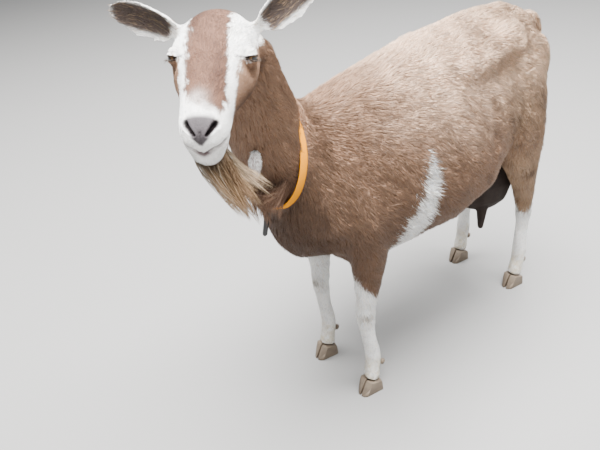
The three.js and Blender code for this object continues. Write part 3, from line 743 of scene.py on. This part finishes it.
def lie_of_coat(p, normal, shares, ear_place):
    part = {name: shares[:, i, None] for i, name in enumerate(part_names)}
    h = on_head(p)
    x, y, z = p.T
    steep = np.interp(z, (420, 560, 640, 720), (1.35, 1.15, 0.8, 0.3)) * ramp(abs(normal[:, 0]), 0.1, 0.5)
    steep = steep + 1.5 * (1 - ramp(y, -110, -30)) + 2.0 * ramp(y, 560, 680)
    body = BACK * np.ones_like(p) + steep[:, None] * DOWN
    outward = np.stack((h[:, 0] / 60, -np.ones(len(p)), -0.25 * ramp(-h[:, 2], 20, 80)), 1)
    way = part["trunk"] * body + part["neck"] * NECK_WAY + part["head"] * (outward @ HEAD_AXES.T)
    for s, (along, _) in EAR_WAYS.items():
        way += part["ear"] * np.where(h[:, :1] * s > 0, 1, 0) * (np.array(along) @ HEAD_AXES.T)
    for name in ("foreleg_upper", "hind_leg_upper", "foreleg_lower", "hind_leg_lower"):
        way += part[name] * (DOWN + 0.25 * BACK)
    way += part["tail"] * (DOWN + 0.3 * BACK)
    swirl = 0.22 * ripple(p, 70, 21) + 0.28 * ripple(p, 60, 22) * ramp(y, 280, 420)
    way = level(way, normal)
    side = np.cross(normal, way)
    return way * np.cos(swirl)[:, None] + side * np.sin(swirl)[:, None]


lie = level(eased(lie_of_coat(points, normal, shares, ear_place), pairs, 4), normal)
skin.data.calc_loop_triangles()
triangles = np.empty(len(skin.data.loop_triangles) * 3, np.int64)
skin.data.loop_triangles.foreach_get("vertices", triangles)
triangles = triangles.reshape(-1, 3)
triangle_loops = np.empty(triangles.size, np.int64)
skin.data.loop_triangles.foreach_get("loops", triangle_loops)
triangle_loops = triangle_loops.reshape(-1, 3)
unwrap = np.empty(len(skin.data.loops) * 2)
skin.data.uv_layers["OFBake"].data.foreach_get("uv", unwrap)
unwrap = unwrap.reshape(-1, 2)
skin_tree = BVHTree.FromPolygons([tuple(c) for c in points], [tuple(t) for t in triangles])
sizes = np.array([HAIR[name] for name in part_names])


def scattered(density, seed):
    """Random places on the skin, so many to the square centimetre: triangles, and shares of their corners."""
    a, b, c = (points[triangles[:, i]] for i in range(3))
    area = np.linalg.norm(np.cross(b - a, c - a), axis=1) / 200
    rng = np.random.default_rng(seed)
    wanted = area * density[triangles].mean(1)
    count = np.floor(wanted + rng.random(len(wanted))).astype(int)
    chosen = np.repeat(np.arange(len(triangles)), count)
    u, v = rng.random((2, len(chosen)))
    flip = u + v > 1
    u[flip], v[flip] = 1 - u[flip], 1 - v[flip]
    return chosen, np.stack((1 - u - v, u, v), 1)


def at_places(values, chosen, weights):
    shares_of_corners = weights[..., None] if values.ndim == 2 else weights
    return (values[triangles[chosen]] * shares_of_corners).sum(1)


def hair_mesh(name, paths, side, up, widths, colours, uv):
    """Closed, three-sided hairs joined in one piece, each along its path and pointed at both ends."""
    count, steps, _ = paths.shape
    around = np.stack((-side, side, 0.45 * up), 1)[:, None]
    rings = paths[:, 1:-1, None] + widths[:, 1:-1, None, None] * around
    corner = np.concatenate((paths[:, :1], rings.reshape(count, -1, 3), paths[:, -1:]), 1)
    shades = np.concatenate((colours[:, :1], np.repeat(colours[:, 1:-1], 3, 1), colours[:, -1:]), 1)
    last, sides = 3 * (steps - 2) + 1, ((1, 3), (3, 2), (2, 1))
    faces = [(0, a, b) for a, b in sides]
    for ring in range(0, 3 * (steps - 3), 3):
        faces += [(a + ring, a + ring + 3, b + ring + 3) for a, b in sides]
        faces += [(a + ring, b + ring + 3, b + ring) for a, b in sides]
    faces += [(a + last - 4, last, b + last - 4) for a, b in sides]
    faces = np.array(faces)
    patch = np.zeros((last + 1, 2))
    patch[0], patch[last] = (0, -0.0015), (0, 0.0015)
    for ring in range((last - 1) // 3):
        rise = -0.0015 + 0.003 * (ring + 1) / (steps - 1)
        patch[1 + 3 * ring: 4 + 3 * ring] = (-0.0012, rise), (0.0012, rise), (0, rise + 0.0004)
    mesh = bpy.data.meshes.new(name)
    index = (faces[None] + (last + 1) * np.arange(count)[:, None, None]).reshape(-1).astype(np.int32)
    mesh.vertices.add(count * (last + 1))
    mesh.vertices.foreach_set("co", (corner.reshape(-1, 3) / 1000 + ZERO).astype(np.float32).ravel())
    mesh.loops.add(len(index))
    mesh.loops.foreach_set("vertex_index", index)
    mesh.polygons.add(len(index) // 3)
    mesh.polygons.foreach_set("loop_start", np.arange(0, len(index), 3, dtype=np.int32))
    mesh.polygons.foreach_set("use_smooth", np.ones(len(index) // 3, bool))
    mesh.update()
    layer = mesh.uv_layers.new(name="OFBake")
    spread = np.clip(uv[:, None] + patch[None], 0, 1).reshape(-1, 2)
    layer.data.foreach_set("uv", spread[index].astype(np.float32).ravel())
    store(mesh, "coat", shades.reshape(-1, 3))
    piece = bpy.data.objects.new(name, mesh)
    bpy.context.scene.collection.objects.link(piece)
    return piece


# ---------- coat ----------
# Tufts of fawn and white hair over the whole hide, lying along it and overlapping like thatch. They are
# pressed down under the strap of the collar, and stand up a little over the loins and at the throat.
STRAP_AT, STRAP_FACING = np.array((7, -121, 638.0)), np.array((0.02, -0.95, 0.31))
coat_finish = hair_finish("coat", 420, 0.10, 0.0002, roughness=0.58)
rng = np.random.default_rng(5)
bare_of_hair = (1 - ramp(bare, 0.25, 0.6)) * ramp(points[:, 2], 26, 34)
chosen, weights = scattered((shares @ sizes[:, 4]) * bare_of_hair, 6)
root, root_normal = at_places(points, chosen, weights), at_places(normal, chosen, weights)
root_normal = unit(root_normal)
root_shares, root_bare = at_places(shares, chosen, weights), at_places(bare, chosen, weights)
length, width, middle_high, tip_high, _ = (root_shares @ sizes).T
count = len(chosen)
fine = root_shares[:, part_names.index("head")] * ramp(on_head(root)[:, 1], 120, 200)
throat = bell(root, np.array((0, -164, 584)), (58, 40, 38)) * root_shares[:, part_names.index("neck")]
folded = np.stack((abs(root[:, 0]), root[:, 1], root[:, 2]), 1)
ruffled = bell(folded, np.array((92, 430, 675)), (30, 130, 22))
beyond_strap = (root - STRAP_AT) @ STRAP_FACING
strapped = np.exp(-(((beyond_strap - 6) / 14) ** 2)) * (root[:, 1] < 0)
strapped *= np.maximum(ramp(root[:, 2], 640, 680), ramp(abs(root[:, 0] - 7), 56, 74))
length *= np.clip(1 + 0.22 * rng.normal(size=count), 0.5, 1.6) * (1 - 0.5 * ramp(root_bare, 0.01, 0.2))
length *= (1 - 0.3 * fine) * (1 + 0.8 * throat)
width *= np.clip(1 + 0.2 * rng.normal(size=count), 0.5, 1.5) * (1 - 0.25 * fine)
stand = np.clip(1 + 0.22 * ripple(root, 26, 31) + 0.15 * rng.normal(size=count), 0.4, 1.7)
stand *= (1 - 0.72 * strapped) * (1 + 4.5 * throat) * (1 + 0.45 * ruffled)
turn = 0.14 * rng.normal(size=count) + 0.16 * ripple(root, 14, 32)
way = level(at_places(lie, chosen, weights), root_normal)
way = way * np.cos(turn)[:, None] + np.cross(root_normal, way) * np.sin(turn)[:, None]
root_side = np.cross(root_normal, way)
uv = (unwrap[triangle_loops[chosen]] * weights[..., None]).sum(1)

middle, tip = np.empty_like(root), np.empty_like(root)
for share, heights, out in ((0.5, middle_high * stand, middle), (1.0, tip_high * stand, tip)):
    aim = root + way * (length * share)[:, None] + root_normal * heights[:, None]
    for i in range(count):
        place, away, _, _ = skin_tree.find_nearest(aim[i])
        out[i] = place + away * heights[i]

lined = lining(in_ear(root, root_normal))
hair_colour = markings_with_painted_light(root, root_shares, lined)
pale_hair = (rng.random(count) < 0.13 * (1.2 - lined)) & (lined > 0.05)
pale_hair |= (rng.random(count) < 0.05) & (lined > 0.5)
hair_colour[pale_hair] = STRAW
tip[pale_hair] += rng.uniform(0.4, 1.3, (pale_hair.sum(), 1)) * (tip[pale_hair] - root[pale_hair])
light = 1 + 0.09 * rng.normal(size=count) + 0.08 * ripple(root, 9, 33) + 0.07 * ripple(root, 30, 34)
light = np.clip(light, 0.6, 1.4)
light *= np.where(rng.random(count) < 0.08, 0.8, 1) * np.where(rng.random(count) < 0.08, 1.12, 1)
warm = 1 + 0.04 * rng.normal(size=(count, 1)) * np.array((1.0, 0.2, -1.0))
# Painted shade in the depth of the coat: each tuft is darker at its root and lighter at its tip, less so on
# the face.
on_face = root_shares[:, part_names.index("head"), None, None]
body_painted_root_shade, face_painted_root_shade = (np.array(s)[None, :, None] for s in ((0.76, 0.97, 1.04), (0.9, 1.0, 1.02)))
painted_root_shade = body_painted_root_shade * (1 - on_face) + face_painted_root_shade * on_face
colours = np.clip((hair_colour * light[:, None] * warm)[:, None] * painted_root_shade, 0.01, 0.93)
paths = np.stack((root - 0.6 * root_normal, middle, tip), 1)
widths = np.repeat(width[:, None] * 0.5, 3, 1)

region = np.full(count, "body", dtype="U16")
for name, members in (("head", ("head",)), ("ears", ("ear",)), ("neck", ("neck",)), ("tail", ("tail",)),
                      ("legs", [n for n in part_names if "leg" in n])):
    region[root_shares[:, [part_names.index(n) for n in members]].sum(1) > 0.5] = name
region[(region == "head") & (on_head(root)[:, 0] > 0)] = "head_left"
region[region == "head"] = "head_right"
region[(region == "legs") & (root[:, 1] > 300) & (root[:, 0] > 0)] = "hind_leg_left"
region[(region == "legs") & (root[:, 1] > 300)] = "hind_leg_right"
region[region == "legs"] = "forelegs"
for i, (fore, aft) in enumerate(((-400, 130), (130, 330), (330, 900))):
    for side_name, sign in (("left", 1), ("right", -1)):
        mine = (region == "body") & (root[:, 1] >= fore) & (root[:, 1] < aft) & (root[:, 0] * sign >= 0)
        region[mine] = f"{side_name}_{i + 1}"


def coat_piece(name, slot, *hairs):
    """Joins hairs into one piece in the coat's finish, riding on the goat."""
    tufts = hair_mesh(name, *hairs)
    tufts.data.materials.append(coat_finish)
    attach(tufts, "root")
    return tufts


for name in sorted(set(region)):
    mine = region == name
    hairs = (of_all[mine] for of_all in (paths, root_side, root_normal, widths, colours, uv))
    coat_piece(f"coat_{name}", "brown_coat", *hairs)


# ---------- beard and lashes ----------
# Long tan hair hanging in loose locks from the chin and lower jaw, swept back against the throat, and brown
# locks over the strap at the throat. Short dark lashes stand out from the upper lids.
BEARD_LOCKS = (  # middle of the roots on the head, spread, swing, fall from the beard's root, hairs, colour
    ((-6, 190, -98), (5, 7, 3), (6, 5, -38), (24, 22, -98), 110, (0.36, 0.28, 0.20)),
    ((-2, 184, -100), (7, 9, 3), (10, 8, -44), (32, 28, -104), 200, (0.33, 0.21, 0.115)),
    ((0, 176, -100), (6, 8, 3), (16, 14, -50), (40, 38, -102), 170, (0.22, 0.135, 0.075)),
    ((2, 168, -101), (5, 7, 3), (15, 18, -54), (33, 46, -91), 180, (0.36, 0.24, 0.135)),
    ((2, 162, -99), (4, 5, 3), (14, 20, -50), (33, 66, -74), 80, (0.38, 0.28, 0.185)),
)
BEARD_ROOT = off_head(np.array((0, 176, -98.0)))
THROAT_BROWN = (0.165, 0.093, 0.058)
THROAT_LOCKS = [  # the same, from places on the throat to the tips over the strap
    (on_head(np.array(place)), (9, 9, 9), (0, -20, -26), np.array(tip) - BEARD_ROOT, 110, THROAT_BROWN)
    for place, tip in (
        ((8, -160, 596), (10, -168, 512)),
        ((26, -158, 600), (27, -174, 518)),
        ((42, -152, 604), (43, -170, 526)),
        ((58, -145, 610), (57, -164, 538)),
    )
]
WISPS, WISP_SPREAD, HAIR_WIDTH = 6, 5.0, 0.75
LASHES, LASH_WIDTH, LASH_BROWN = 46, 0.22, (0.05, 0.035, 0.025)


def nearest_on_skin(p):
    place, away, face, _ = skin_tree.find_nearest(p)
    return np.array(place), np.array(away), face


def long_hairs(roots, tips, swing, wave, steps):
    """Paths from roots to tips, drawn towards a swing from each root, with a slight wave."""
    t = np.linspace(0, 1, steps)[None, :, None]
    start, drawn, end = (ends[:, None] for ends in (roots, roots + swing, tips))
    paths = (1 - t) ** 2 * start + 2 * t * (1 - t) * drawn + t ** 2 * end
    return paths + wave[:, None] * np.sin(2.2 * np.pi * t) * t


def locks_piece(name, slot, locks, rng):
    """Hair hanging in locks, each of a few wisps that draw together to their own tips."""
    hairs = []
    for middle_at, spread, swing, fall, number, tone in locks:
        wisp = rng.integers(0, WISPS, number)
        wisp_tip = rng.normal(size=(WISPS, 3)) * WISP_SPREAD * (1, 1, 1.6)
        wisp_root = rng.normal(size=(WISPS, 3)) * 0.6
        stray = wisp_root[wisp] + 0.6 * rng.normal(size=(number, 3))
        aim = off_head(np.array(middle_at) + np.array(spread) * stray)
        found = [nearest_on_skin(a) for a in aim]
        start = np.array([f[0] - 0.8 * f[1] for f in found])
        end = BEARD_ROOT + np.array(fall) * np.clip(1 - 0.16 * abs(rng.normal(size=(number, 1))), 0.5, 1)
        end = end + wisp_tip[wisp] + 1.4 * rng.normal(size=(number, 3))
        wave = rng.normal(size=(WISPS, 3))[wisp] * 2.2 + rng.normal(size=(number, 3)) * 0.5
        shade = 1 + 0.16 * rng.normal(size=(number, 1)) + 0.12 * rng.normal(size=(WISPS, 1))[wisp]
        shade = np.array(tone) * np.clip(shade, 0.5, 1.5)
        # Painted shade at the roots: each hair darkens from its tip to less than half as bright at its root.
        shades = np.linspace(0.4, 1.12, 7)[None, :, None] * shade[:, None]
        root_uv = unwrap[triangle_loops[[f[2] for f in found], 0]]
        hairs.append((long_hairs(start, end, np.array(swing) + wave, wave, 7), shades, root_uv))
    paths, colours, uv = (np.concatenate([h[i] for h in hairs]) for i in range(3))
    toward = unit(paths[:, -1] - paths[:, 0])
    side = unit(np.cross(toward, FACE))
    taper = HAIR_WIDTH * 0.5 * np.array((1, 1, 1, 0.95, 0.8, 0.55, 0.3))
    widths = taper[None] * rng.uniform(0.7, 1.4, (len(paths), 1))
    colours = np.clip(colours, 0.01, 0.9)
    return coat_piece(name, slot, paths, side, np.cross(side, toward), widths, colours, uv)


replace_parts(locks_piece("beard_hair", "tan_hair", BEARD_LOCKS, np.random.default_rng(17)), "beard")
locks_piece("throat_hair", "brown_coat", THROAT_LOCKS, np.random.default_rng(19))
rng = np.random.default_rng(18)

lash_parts = []
for s, (centre, axes) in eye_frames.items():
    across = np.linspace(-0.75, 0.95, LASHES) * SLIT_HALF + rng.normal(size=LASHES) * 0.15
    height = UPPER_LID * (1 - (across / SLIT_HALF) ** 2) + 0.5
    rim = EYE_RADIUS + LID + 0.1
    flat = np.stack((across, height, np.sqrt(np.maximum(rim ** 2 - across ** 2 - height ** 2, 1))), 1)
    out = flat / rim + np.stack((0.25 * across / SLIT_HALF, np.full(LASHES, -0.25), np.zeros(LASHES)), 1)
    out += 0.15 * rng.normal(size=(LASHES, 3))
    steps = np.array((0, 2.4, 4.6, 6.2))[None, :, None] * rng.uniform(0.7, 1.1, (LASHES, 1, 1))
    curl = np.array((0, 0, 0.5, 1.3))[None, :, None] * np.array((0, 1.0, 0))
    lash_parts.append(off_head(centre + (flat[:, None] + out[:, None] * steps + curl) @ axes.T))
lashes = np.concatenate(lash_parts)
lash_way = unit(lashes[:, -1] - lashes[:, 0])
lash_side = unit(np.cross(lash_way, -DOWN))
lash_uv = np.array([unwrap[triangle_loops[nearest_on_skin(p[0])[2], 0]] for p in lashes])
lash_colour = np.tile(LASH_BROWN, (len(lashes), 4, 1))
lash_width = np.full((len(lashes), 4), LASH_WIDTH)
lash_up = np.cross(lash_side, lash_way)
coat_piece("lashes", "tan_hair", lashes, lash_side, lash_up, lash_width, lash_colour, lash_uv)


# ---------- eyes ----------
# Wet, dark amber-brown eyes with a level, slot-shaped pupil. Each is a whole ball, bulging a little at the
# front, set in the hide under the lids.
IRIS, IRIS_EDGE = (0.055, 0.027, 0.009), (0.02, 0.011, 0.006)
EYE_WHITE, PUPIL = (0.06, 0.04, 0.03), (0.003, 0.003, 0.003)
PUPIL_HALF, PUPIL_HIGH, IRIS_RADIUS, CORNEA = 4.0, 1.9, 9.6, 0.9

eye_finish = bpy.data.materials.new("eye")
eye_finish.use_nodes = True
nodes, link = eye_finish.node_tree.nodes, eye_finish.node_tree.links.new
gaze_at, parts_of = nodes.new("ShaderNodeAttribute"), nodes.new("ShaderNodeSeparateXYZ")
gaze_at.attribute_name = "gaze"
link(gaze_at.outputs["Vector"], parts_of.inputs["Vector"])


def maths(operation, *values):
    """A node that works out one number from others, which are numbers or outputs of other nodes."""
    node = nodes.new("ShaderNodeMath")
    node.operation = operation
    for socket, value in zip(node.inputs, values):
        if isinstance(value, bpy.types.NodeSocket):
            link(value, socket)
        else:
            socket.default_value = value
    return node.outputs[0]


def faded(value, low, high):
    node = nodes.new("ShaderNodeMapRange")
    node.interpolation_type = "SMOOTHSTEP"
    node.inputs["From Min"].default_value, node.inputs["From Max"].default_value = low, high
    link(value, node.inputs["Value"])
    return node.outputs["Result"]


def blended(share, first, second):
    node = nodes.new("ShaderNodeMix")
    node.data_type = "RGBA"
    link(share, node.inputs["Factor"])
    for socket, value in (("A", first), ("B", second)):
        if isinstance(value, bpy.types.NodeSocket):
            link(value, node.inputs[socket])
        else:
            node.inputs[socket].default_value = (*value, 1)
    return node.outputs["Result"]


along_slot = maths("MAXIMUM", maths("SUBTRACT", maths("ABSOLUTE", parts_of.outputs["X"]), PUPIL_HALF), 0.0)
from_slot = maths("SQRT", maths("ADD", maths("MULTIPLY", along_slot, along_slot),
                                maths("MULTIPLY", parts_of.outputs["Y"], parts_of.outputs["Y"])))
from_axis = maths("SQRT", maths("ADD", maths("MULTIPLY", parts_of.outputs["X"], parts_of.outputs["X"]),
                                maths("MULTIPLY", parts_of.outputs["Y"], parts_of.outputs["Y"])))
fibres = nodes.new("ShaderNodeTexNoise")
fibres.inputs["Scale"].default_value, fibres.inputs["Detail"].default_value = 1.6, 4
link(gaze_at.outputs["Vector"], fibres.inputs["Vector"])
iris = blended(faded(fibres.outputs["Fac"], 0.35, 0.7), IRIS, tuple(1.7 * c for c in IRIS))
ball = blended(faded(from_axis, IRIS_RADIUS * 0.72, IRIS_RADIUS), iris, IRIS_EDGE)
ball = blended(faded(from_axis, IRIS_RADIUS, IRIS_RADIUS * 1.12), ball, EYE_WHITE)
ball = blended(faded(from_slot, PUPIL_HIGH - 0.3, PUPIL_HIGH + 0.3), PUPIL, ball)
eye_shader = nodes["Principled BSDF"]
link(ball, eye_shader.inputs["Base Color"])
eye_shader.inputs["Roughness"].default_value = 0.12
eye_shader.inputs["Coat Weight"].default_value = 0.35

for s, (centre, axes) in eye_frames.items():
    side_name = "left" if s > 0 else "right"
    ball = bmesh.new()
    bmesh.ops.create_uvsphere(ball, u_segments=40, v_segments=28, radius=EYE_RADIUS)
    eye = added(f"eyeball_{side_name}", ball)
    spot = np.empty(len(eye.data.vertices) * 3)
    eye.data.vertices.foreach_get("co", spot)
    spot = spot.reshape(-1, 3)
    bulge = CORNEA * ramp(spot[:, 2] / EYE_RADIUS, 0.72, 0.95)
    spot *= (1 + bulge / EYE_RADIUS)[:, None]
    gaze_layer = eye.data.attributes.new("gaze", "FLOAT_VECTOR", "POINT")
    gaze_layer.data.foreach_set("vector", spot.astype(np.float32).ravel())
    place_corners(eye.data, off_head(centre + spot @ axes.T))
    if np.linalg.det(axes) < 0:
        eye.data.flip_normals()
    smooth(eye.data)
    eye.data.materials.append(eye_finish)
    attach(eye, "root")
    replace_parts(eye, f"eye_{side_name}")


# ---------- hooves ----------
# Cloven hooves of grey-brown horn, two claws and two dewclaws to a foot. They grow from the skin and are
# rubbed smooth at the edges.
HORN, HORN_DARK = (0.20, 0.155, 0.11), (0.10, 0.075, 0.055)


def maker_piece(name, sources, edge, finish, sharp=0.6, grow=0.0, rounded=False):
    """A copy of plain solids in their place, its hard edges bevelled, or all its other edges rounded."""
    shape = bmesh.new()
    for source in sources:
        shape.from_mesh(NODES[source].data)
    bmesh.ops.remove_doubles(shape, verts=shape.verts, dist=1e-5)
    bmesh.ops.dissolve_limit(shape, angle_limit=0.02, verts=shape.verts, edges=shape.edges)
    shape.normal_update()
    for corner in shape.verts:
        corner.co += corner.normal * grow
    hard = [e for e in shape.edges if len(e.link_faces) == 2 and e.calc_face_angle(0) > sharp]
    if edge:
        bmesh.ops.bevel(shape, geom=hard, offset=edge, segments=2, profile=0.5, affect="EDGES",
                        clamp_overlap=True, material=-1)
    bmesh.ops.triangulate(shape, faces=[f for f in shape.faces if len(f.verts) > 4])
    if rounded:
        bmesh.ops.join_triangles(shape, faces=shape.faces, angle_face_threshold=0.3,
                                 angle_shape_threshold=0.6)
        crease = shape.edges.layers.float.new("crease_edge")
        for edge_line in hard:
            if edge_line.is_valid:
                edge_line[crease] = 0.8
    piece = added(name, shape)
    smooth(piece.data)
    if rounded:
        swell = piece.modifiers.new("rounding", "SUBSURF")
        swell.levels = swell.render_levels = 2
    else:
        piece.data.set_sharp_from_angle(angle=0.9)
    piece.data.materials.append(finish)
    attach(piece, "root")
    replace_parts(piece, *sources)
    return piece


def mottling_group():
    """Two colours mottled together."""
    group, source, result = pattern_group("mottling", ("First", "Second"), ("Size",))
    place, noise, mix = (group.nodes.new("ShaderNode" + kind) for kind in ("TexCoord", "TexNoise", "Mix"))
    link = group.links.new
    mix.data_type = "RGBA"
    noise.inputs["Detail"].default_value = 5
    link(place.outputs["Object"], noise.inputs["Vector"])
    link(source.outputs["Size"], noise.inputs["Scale"])
    link(noise.outputs["Fac"], mix.inputs["Factor"])
    link(source.outputs["First"], mix.inputs["A"])
    link(source.outputs["Second"], mix.inputs["B"])
    link(mix.outputs["Result"], result.inputs["Colour"])
    link(noise.outputs["Fac"], result.inputs["Height"])
    return group


mottling = mottling_group()


def plain_finish(name, first, second, size, roughness, bump=0.0003, specular=0.4):
    """A finish of two shades mottled together, with fine relief."""
    values = {"First": (*first, 1), "Second": (*second, 1), "Size": size}
    return patterned(name, mottling, values, bump, 1.0, roughness, specular)[0]


horn_finish = plain_finish("horn", HORN, HORN_DARK, 60, 0.55)
maker_piece("hooves", [n for n in NODES if n.startswith("claw")], 0.0016, horn_finish)
maker_piece("dewclaws", [n for n in NODES if n.startswith("dewclaw")], 0.0012, horn_finish)


# ---------- udder and wattles ----------
# The udder is bare, dark brown skin with two teats, slung between the thighs. The wattles are two small tabs
# of skin that hang from the throat, in white hair.
UDDER_SKIN, UDDER_DARK = (0.026, 0.017, 0.013), (0.014, 0.009, 0.008)
UDDER_CELL, UDDER_INSET = 3.6, 0.4
WATTLE_SKIN, WATTLE_PALE, WATTLE_TIP = (0.42, 0.33, 0.31), (0.60, 0.52, 0.49), (0.52, 0.43, 0.41)
udder_finish = plain_finish("udder", UDDER_SKIN, UDDER_DARK, 90, 0.7, 0.0006, specular=0.15)
udder = maker_piece("udder_skin", ["udder"], 0, udder_finish)
remesh = udder.modifiers.new("remesh", "REMESH")
remesh.mode, remesh.voxel_size, remesh.use_smooth_shade = "VOXEL", UDDER_CELL / 1000, True
udder.data = bpy.data.meshes.new_from_object(udder.evaluated_get(bpy.context.evaluated_depsgraph_get()))
udder.modifiers.clear()
udder.data.materials.clear()
udder.data.materials.append(udder_finish)
surface = eased(corners(udder.data), edges_of(udder.data), 5, 0.5)
place_corners(udder.data, surface)
place_corners(udder.data, surface - normals_of(udder.data) * UDDER_INSET)
smooth(udder.data)

wattle_finish = plain_finish("wattle", WATTLE_SKIN, WATTLE_PALE, 140, 0.7)
WATTLE_RADII, WATTLE_AROUND = (2.0, 2.6, 3.6, 5.4, 7.4, 8.6, 8.8, 7.4, 4.0), 14
WATTLE_HAIRS, WATTLE_HAIR_WIDTH = 2600, 0.36
wattle_shape = bmesh.new()
for node in ("wattle_left", "wattle_right"):
    low, high = (np.array(corner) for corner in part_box(node))
    hang = np.array([(*(low + high)[:2] / 2, z) for z in (high[2] - 0.006, low[2] + 0.002)])
    hang = (hang - ZERO) * 1000
    base, away, _ = nearest_on_skin(hang[0])
    t = np.linspace(0, 1, len(WATTLE_RADII))[:, None]
    line = (1 - t) ** 2 * (base - 4 * away) + 2 * t * (1 - t) * (base + 12 * away) + t ** 2 * hang[1]
    tangent = unit(np.gradient(line, axis=0))
    rings = []
    for place, radius, ahead_way in zip(line, WATTLE_RADII, tangent):
        first = unit(np.cross(ahead_way, LEFT))
        angles = np.linspace(0, 2 * np.pi, WATTLE_AROUND, endpoint=False)[:, None]
        ring = place + radius * (np.cos(angles) * first + np.sin(angles) * np.cross(ahead_way, first))
        rings.append([wattle_shape.verts.new(corner / 1000 + ZERO) for corner in ring])
    for upper, lower in zip(rings, rings[1:]):
        for a, b, c, d in zip(upper, upper[1:] + upper[:1], lower[1:] + lower[:1], lower):
            wattle_shape.faces.new((a, d, c, b))
    wattle_shape.faces.new(rings[0])
    wattle_shape.faces.new(rings[-1][::-1])
bmesh.ops.recalc_face_normals(wattle_shape, faces=wattle_shape.faces)
wattles = added("wattle_skin", wattle_shape)
smooth(wattles.data)
wattles.data.materials.append(wattle_finish)
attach(wattles, "root")
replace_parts(wattles, "wattle_left", "wattle_right")
surface, outward = corners(wattles.data), normals_of(wattles.data)
rng = np.random.default_rng(8)
picked = rng.integers(0, len(surface), WATTLE_HAIRS)
slide = level(rng.normal(size=(WATTLE_HAIRS, 3)), outward[picked]) * rng.uniform(0, 2.5, (WATTLE_HAIRS, 1))
wattle_root, wattle_up = surface[picked] + slide, outward[picked]
wattle_way = level(DOWN + 0.25 * rng.normal(size=wattle_up.shape), wattle_up)
wattle_length = rng.uniform(6, 11, (WATTLE_HAIRS, 1))
wattle_middle = wattle_root + wattle_way * wattle_length * 0.5 + wattle_up * 1.1
wattle_tip = wattle_root + wattle_way * wattle_length + wattle_up * 1.3
wattle_paths = np.stack((wattle_root - 0.4 * wattle_up, wattle_middle, wattle_tip), 1)
top, bottom = surface[:, 2].max(), surface[:, 2].min()
pink = ramp((top - wattle_root[:, 2]) / (top - bottom), 0.55, 0.95)
wattle_colour = mixed(np.tile(WHITE, (WATTLE_HAIRS, 1)), WATTLE_TIP, 0.75 * pink)
wattle_colour *= rng.uniform(0.8, 1.1, (WATTLE_HAIRS, 1))
wattle_uv = np.array([unwrap[triangle_loops[nearest_on_skin(p)[2], 0]] for p in wattle_root])
# Painted shade at the roots: each wattle hair is darker at its root than at its tip.
wattle_colour = wattle_colour[:, None] * np.array((0.75, 1, 1.05))[:, None]
coat_piece("wattle_hair", "white_coat", wattle_paths, np.cross(wattle_up, wattle_way), wattle_up,
           np.full((WATTLE_HAIRS, 3), WATTLE_HAIR_WIDTH), np.clip(wattle_colour, 0.01, 0.93), wattle_uv)


# ---------- collar ----------
# A woven strap, bright yellow-orange and a little worn, round the base of the neck. A black ring and a snap
# hook hang from it at the throat.
STRAP, STRAP_WORN, STRAP_LIFT = (0.72, 0.27, 0.0), (0.60, 0.215, 0.001), 0.0012
STEEL, STEEL_WORN = (0.012, 0.012, 0.013), (0.03, 0.03, 0.032)
strap_finish = plain_finish("strap", STRAP, STRAP_WORN, 35, 0.75, 0.0002, specular=0.05)
maker_piece("strap", ["collar"], 0, strap_finish, sharp=0.9, grow=STRAP_LIFT, rounded=True)
hook_finish = plain_finish("black_steel", STEEL, STEEL_WORN, 200, 0.35)
maker_piece("snap_hook", ["collar_clip"], 0.0006, hook_finish, sharp=1.2)
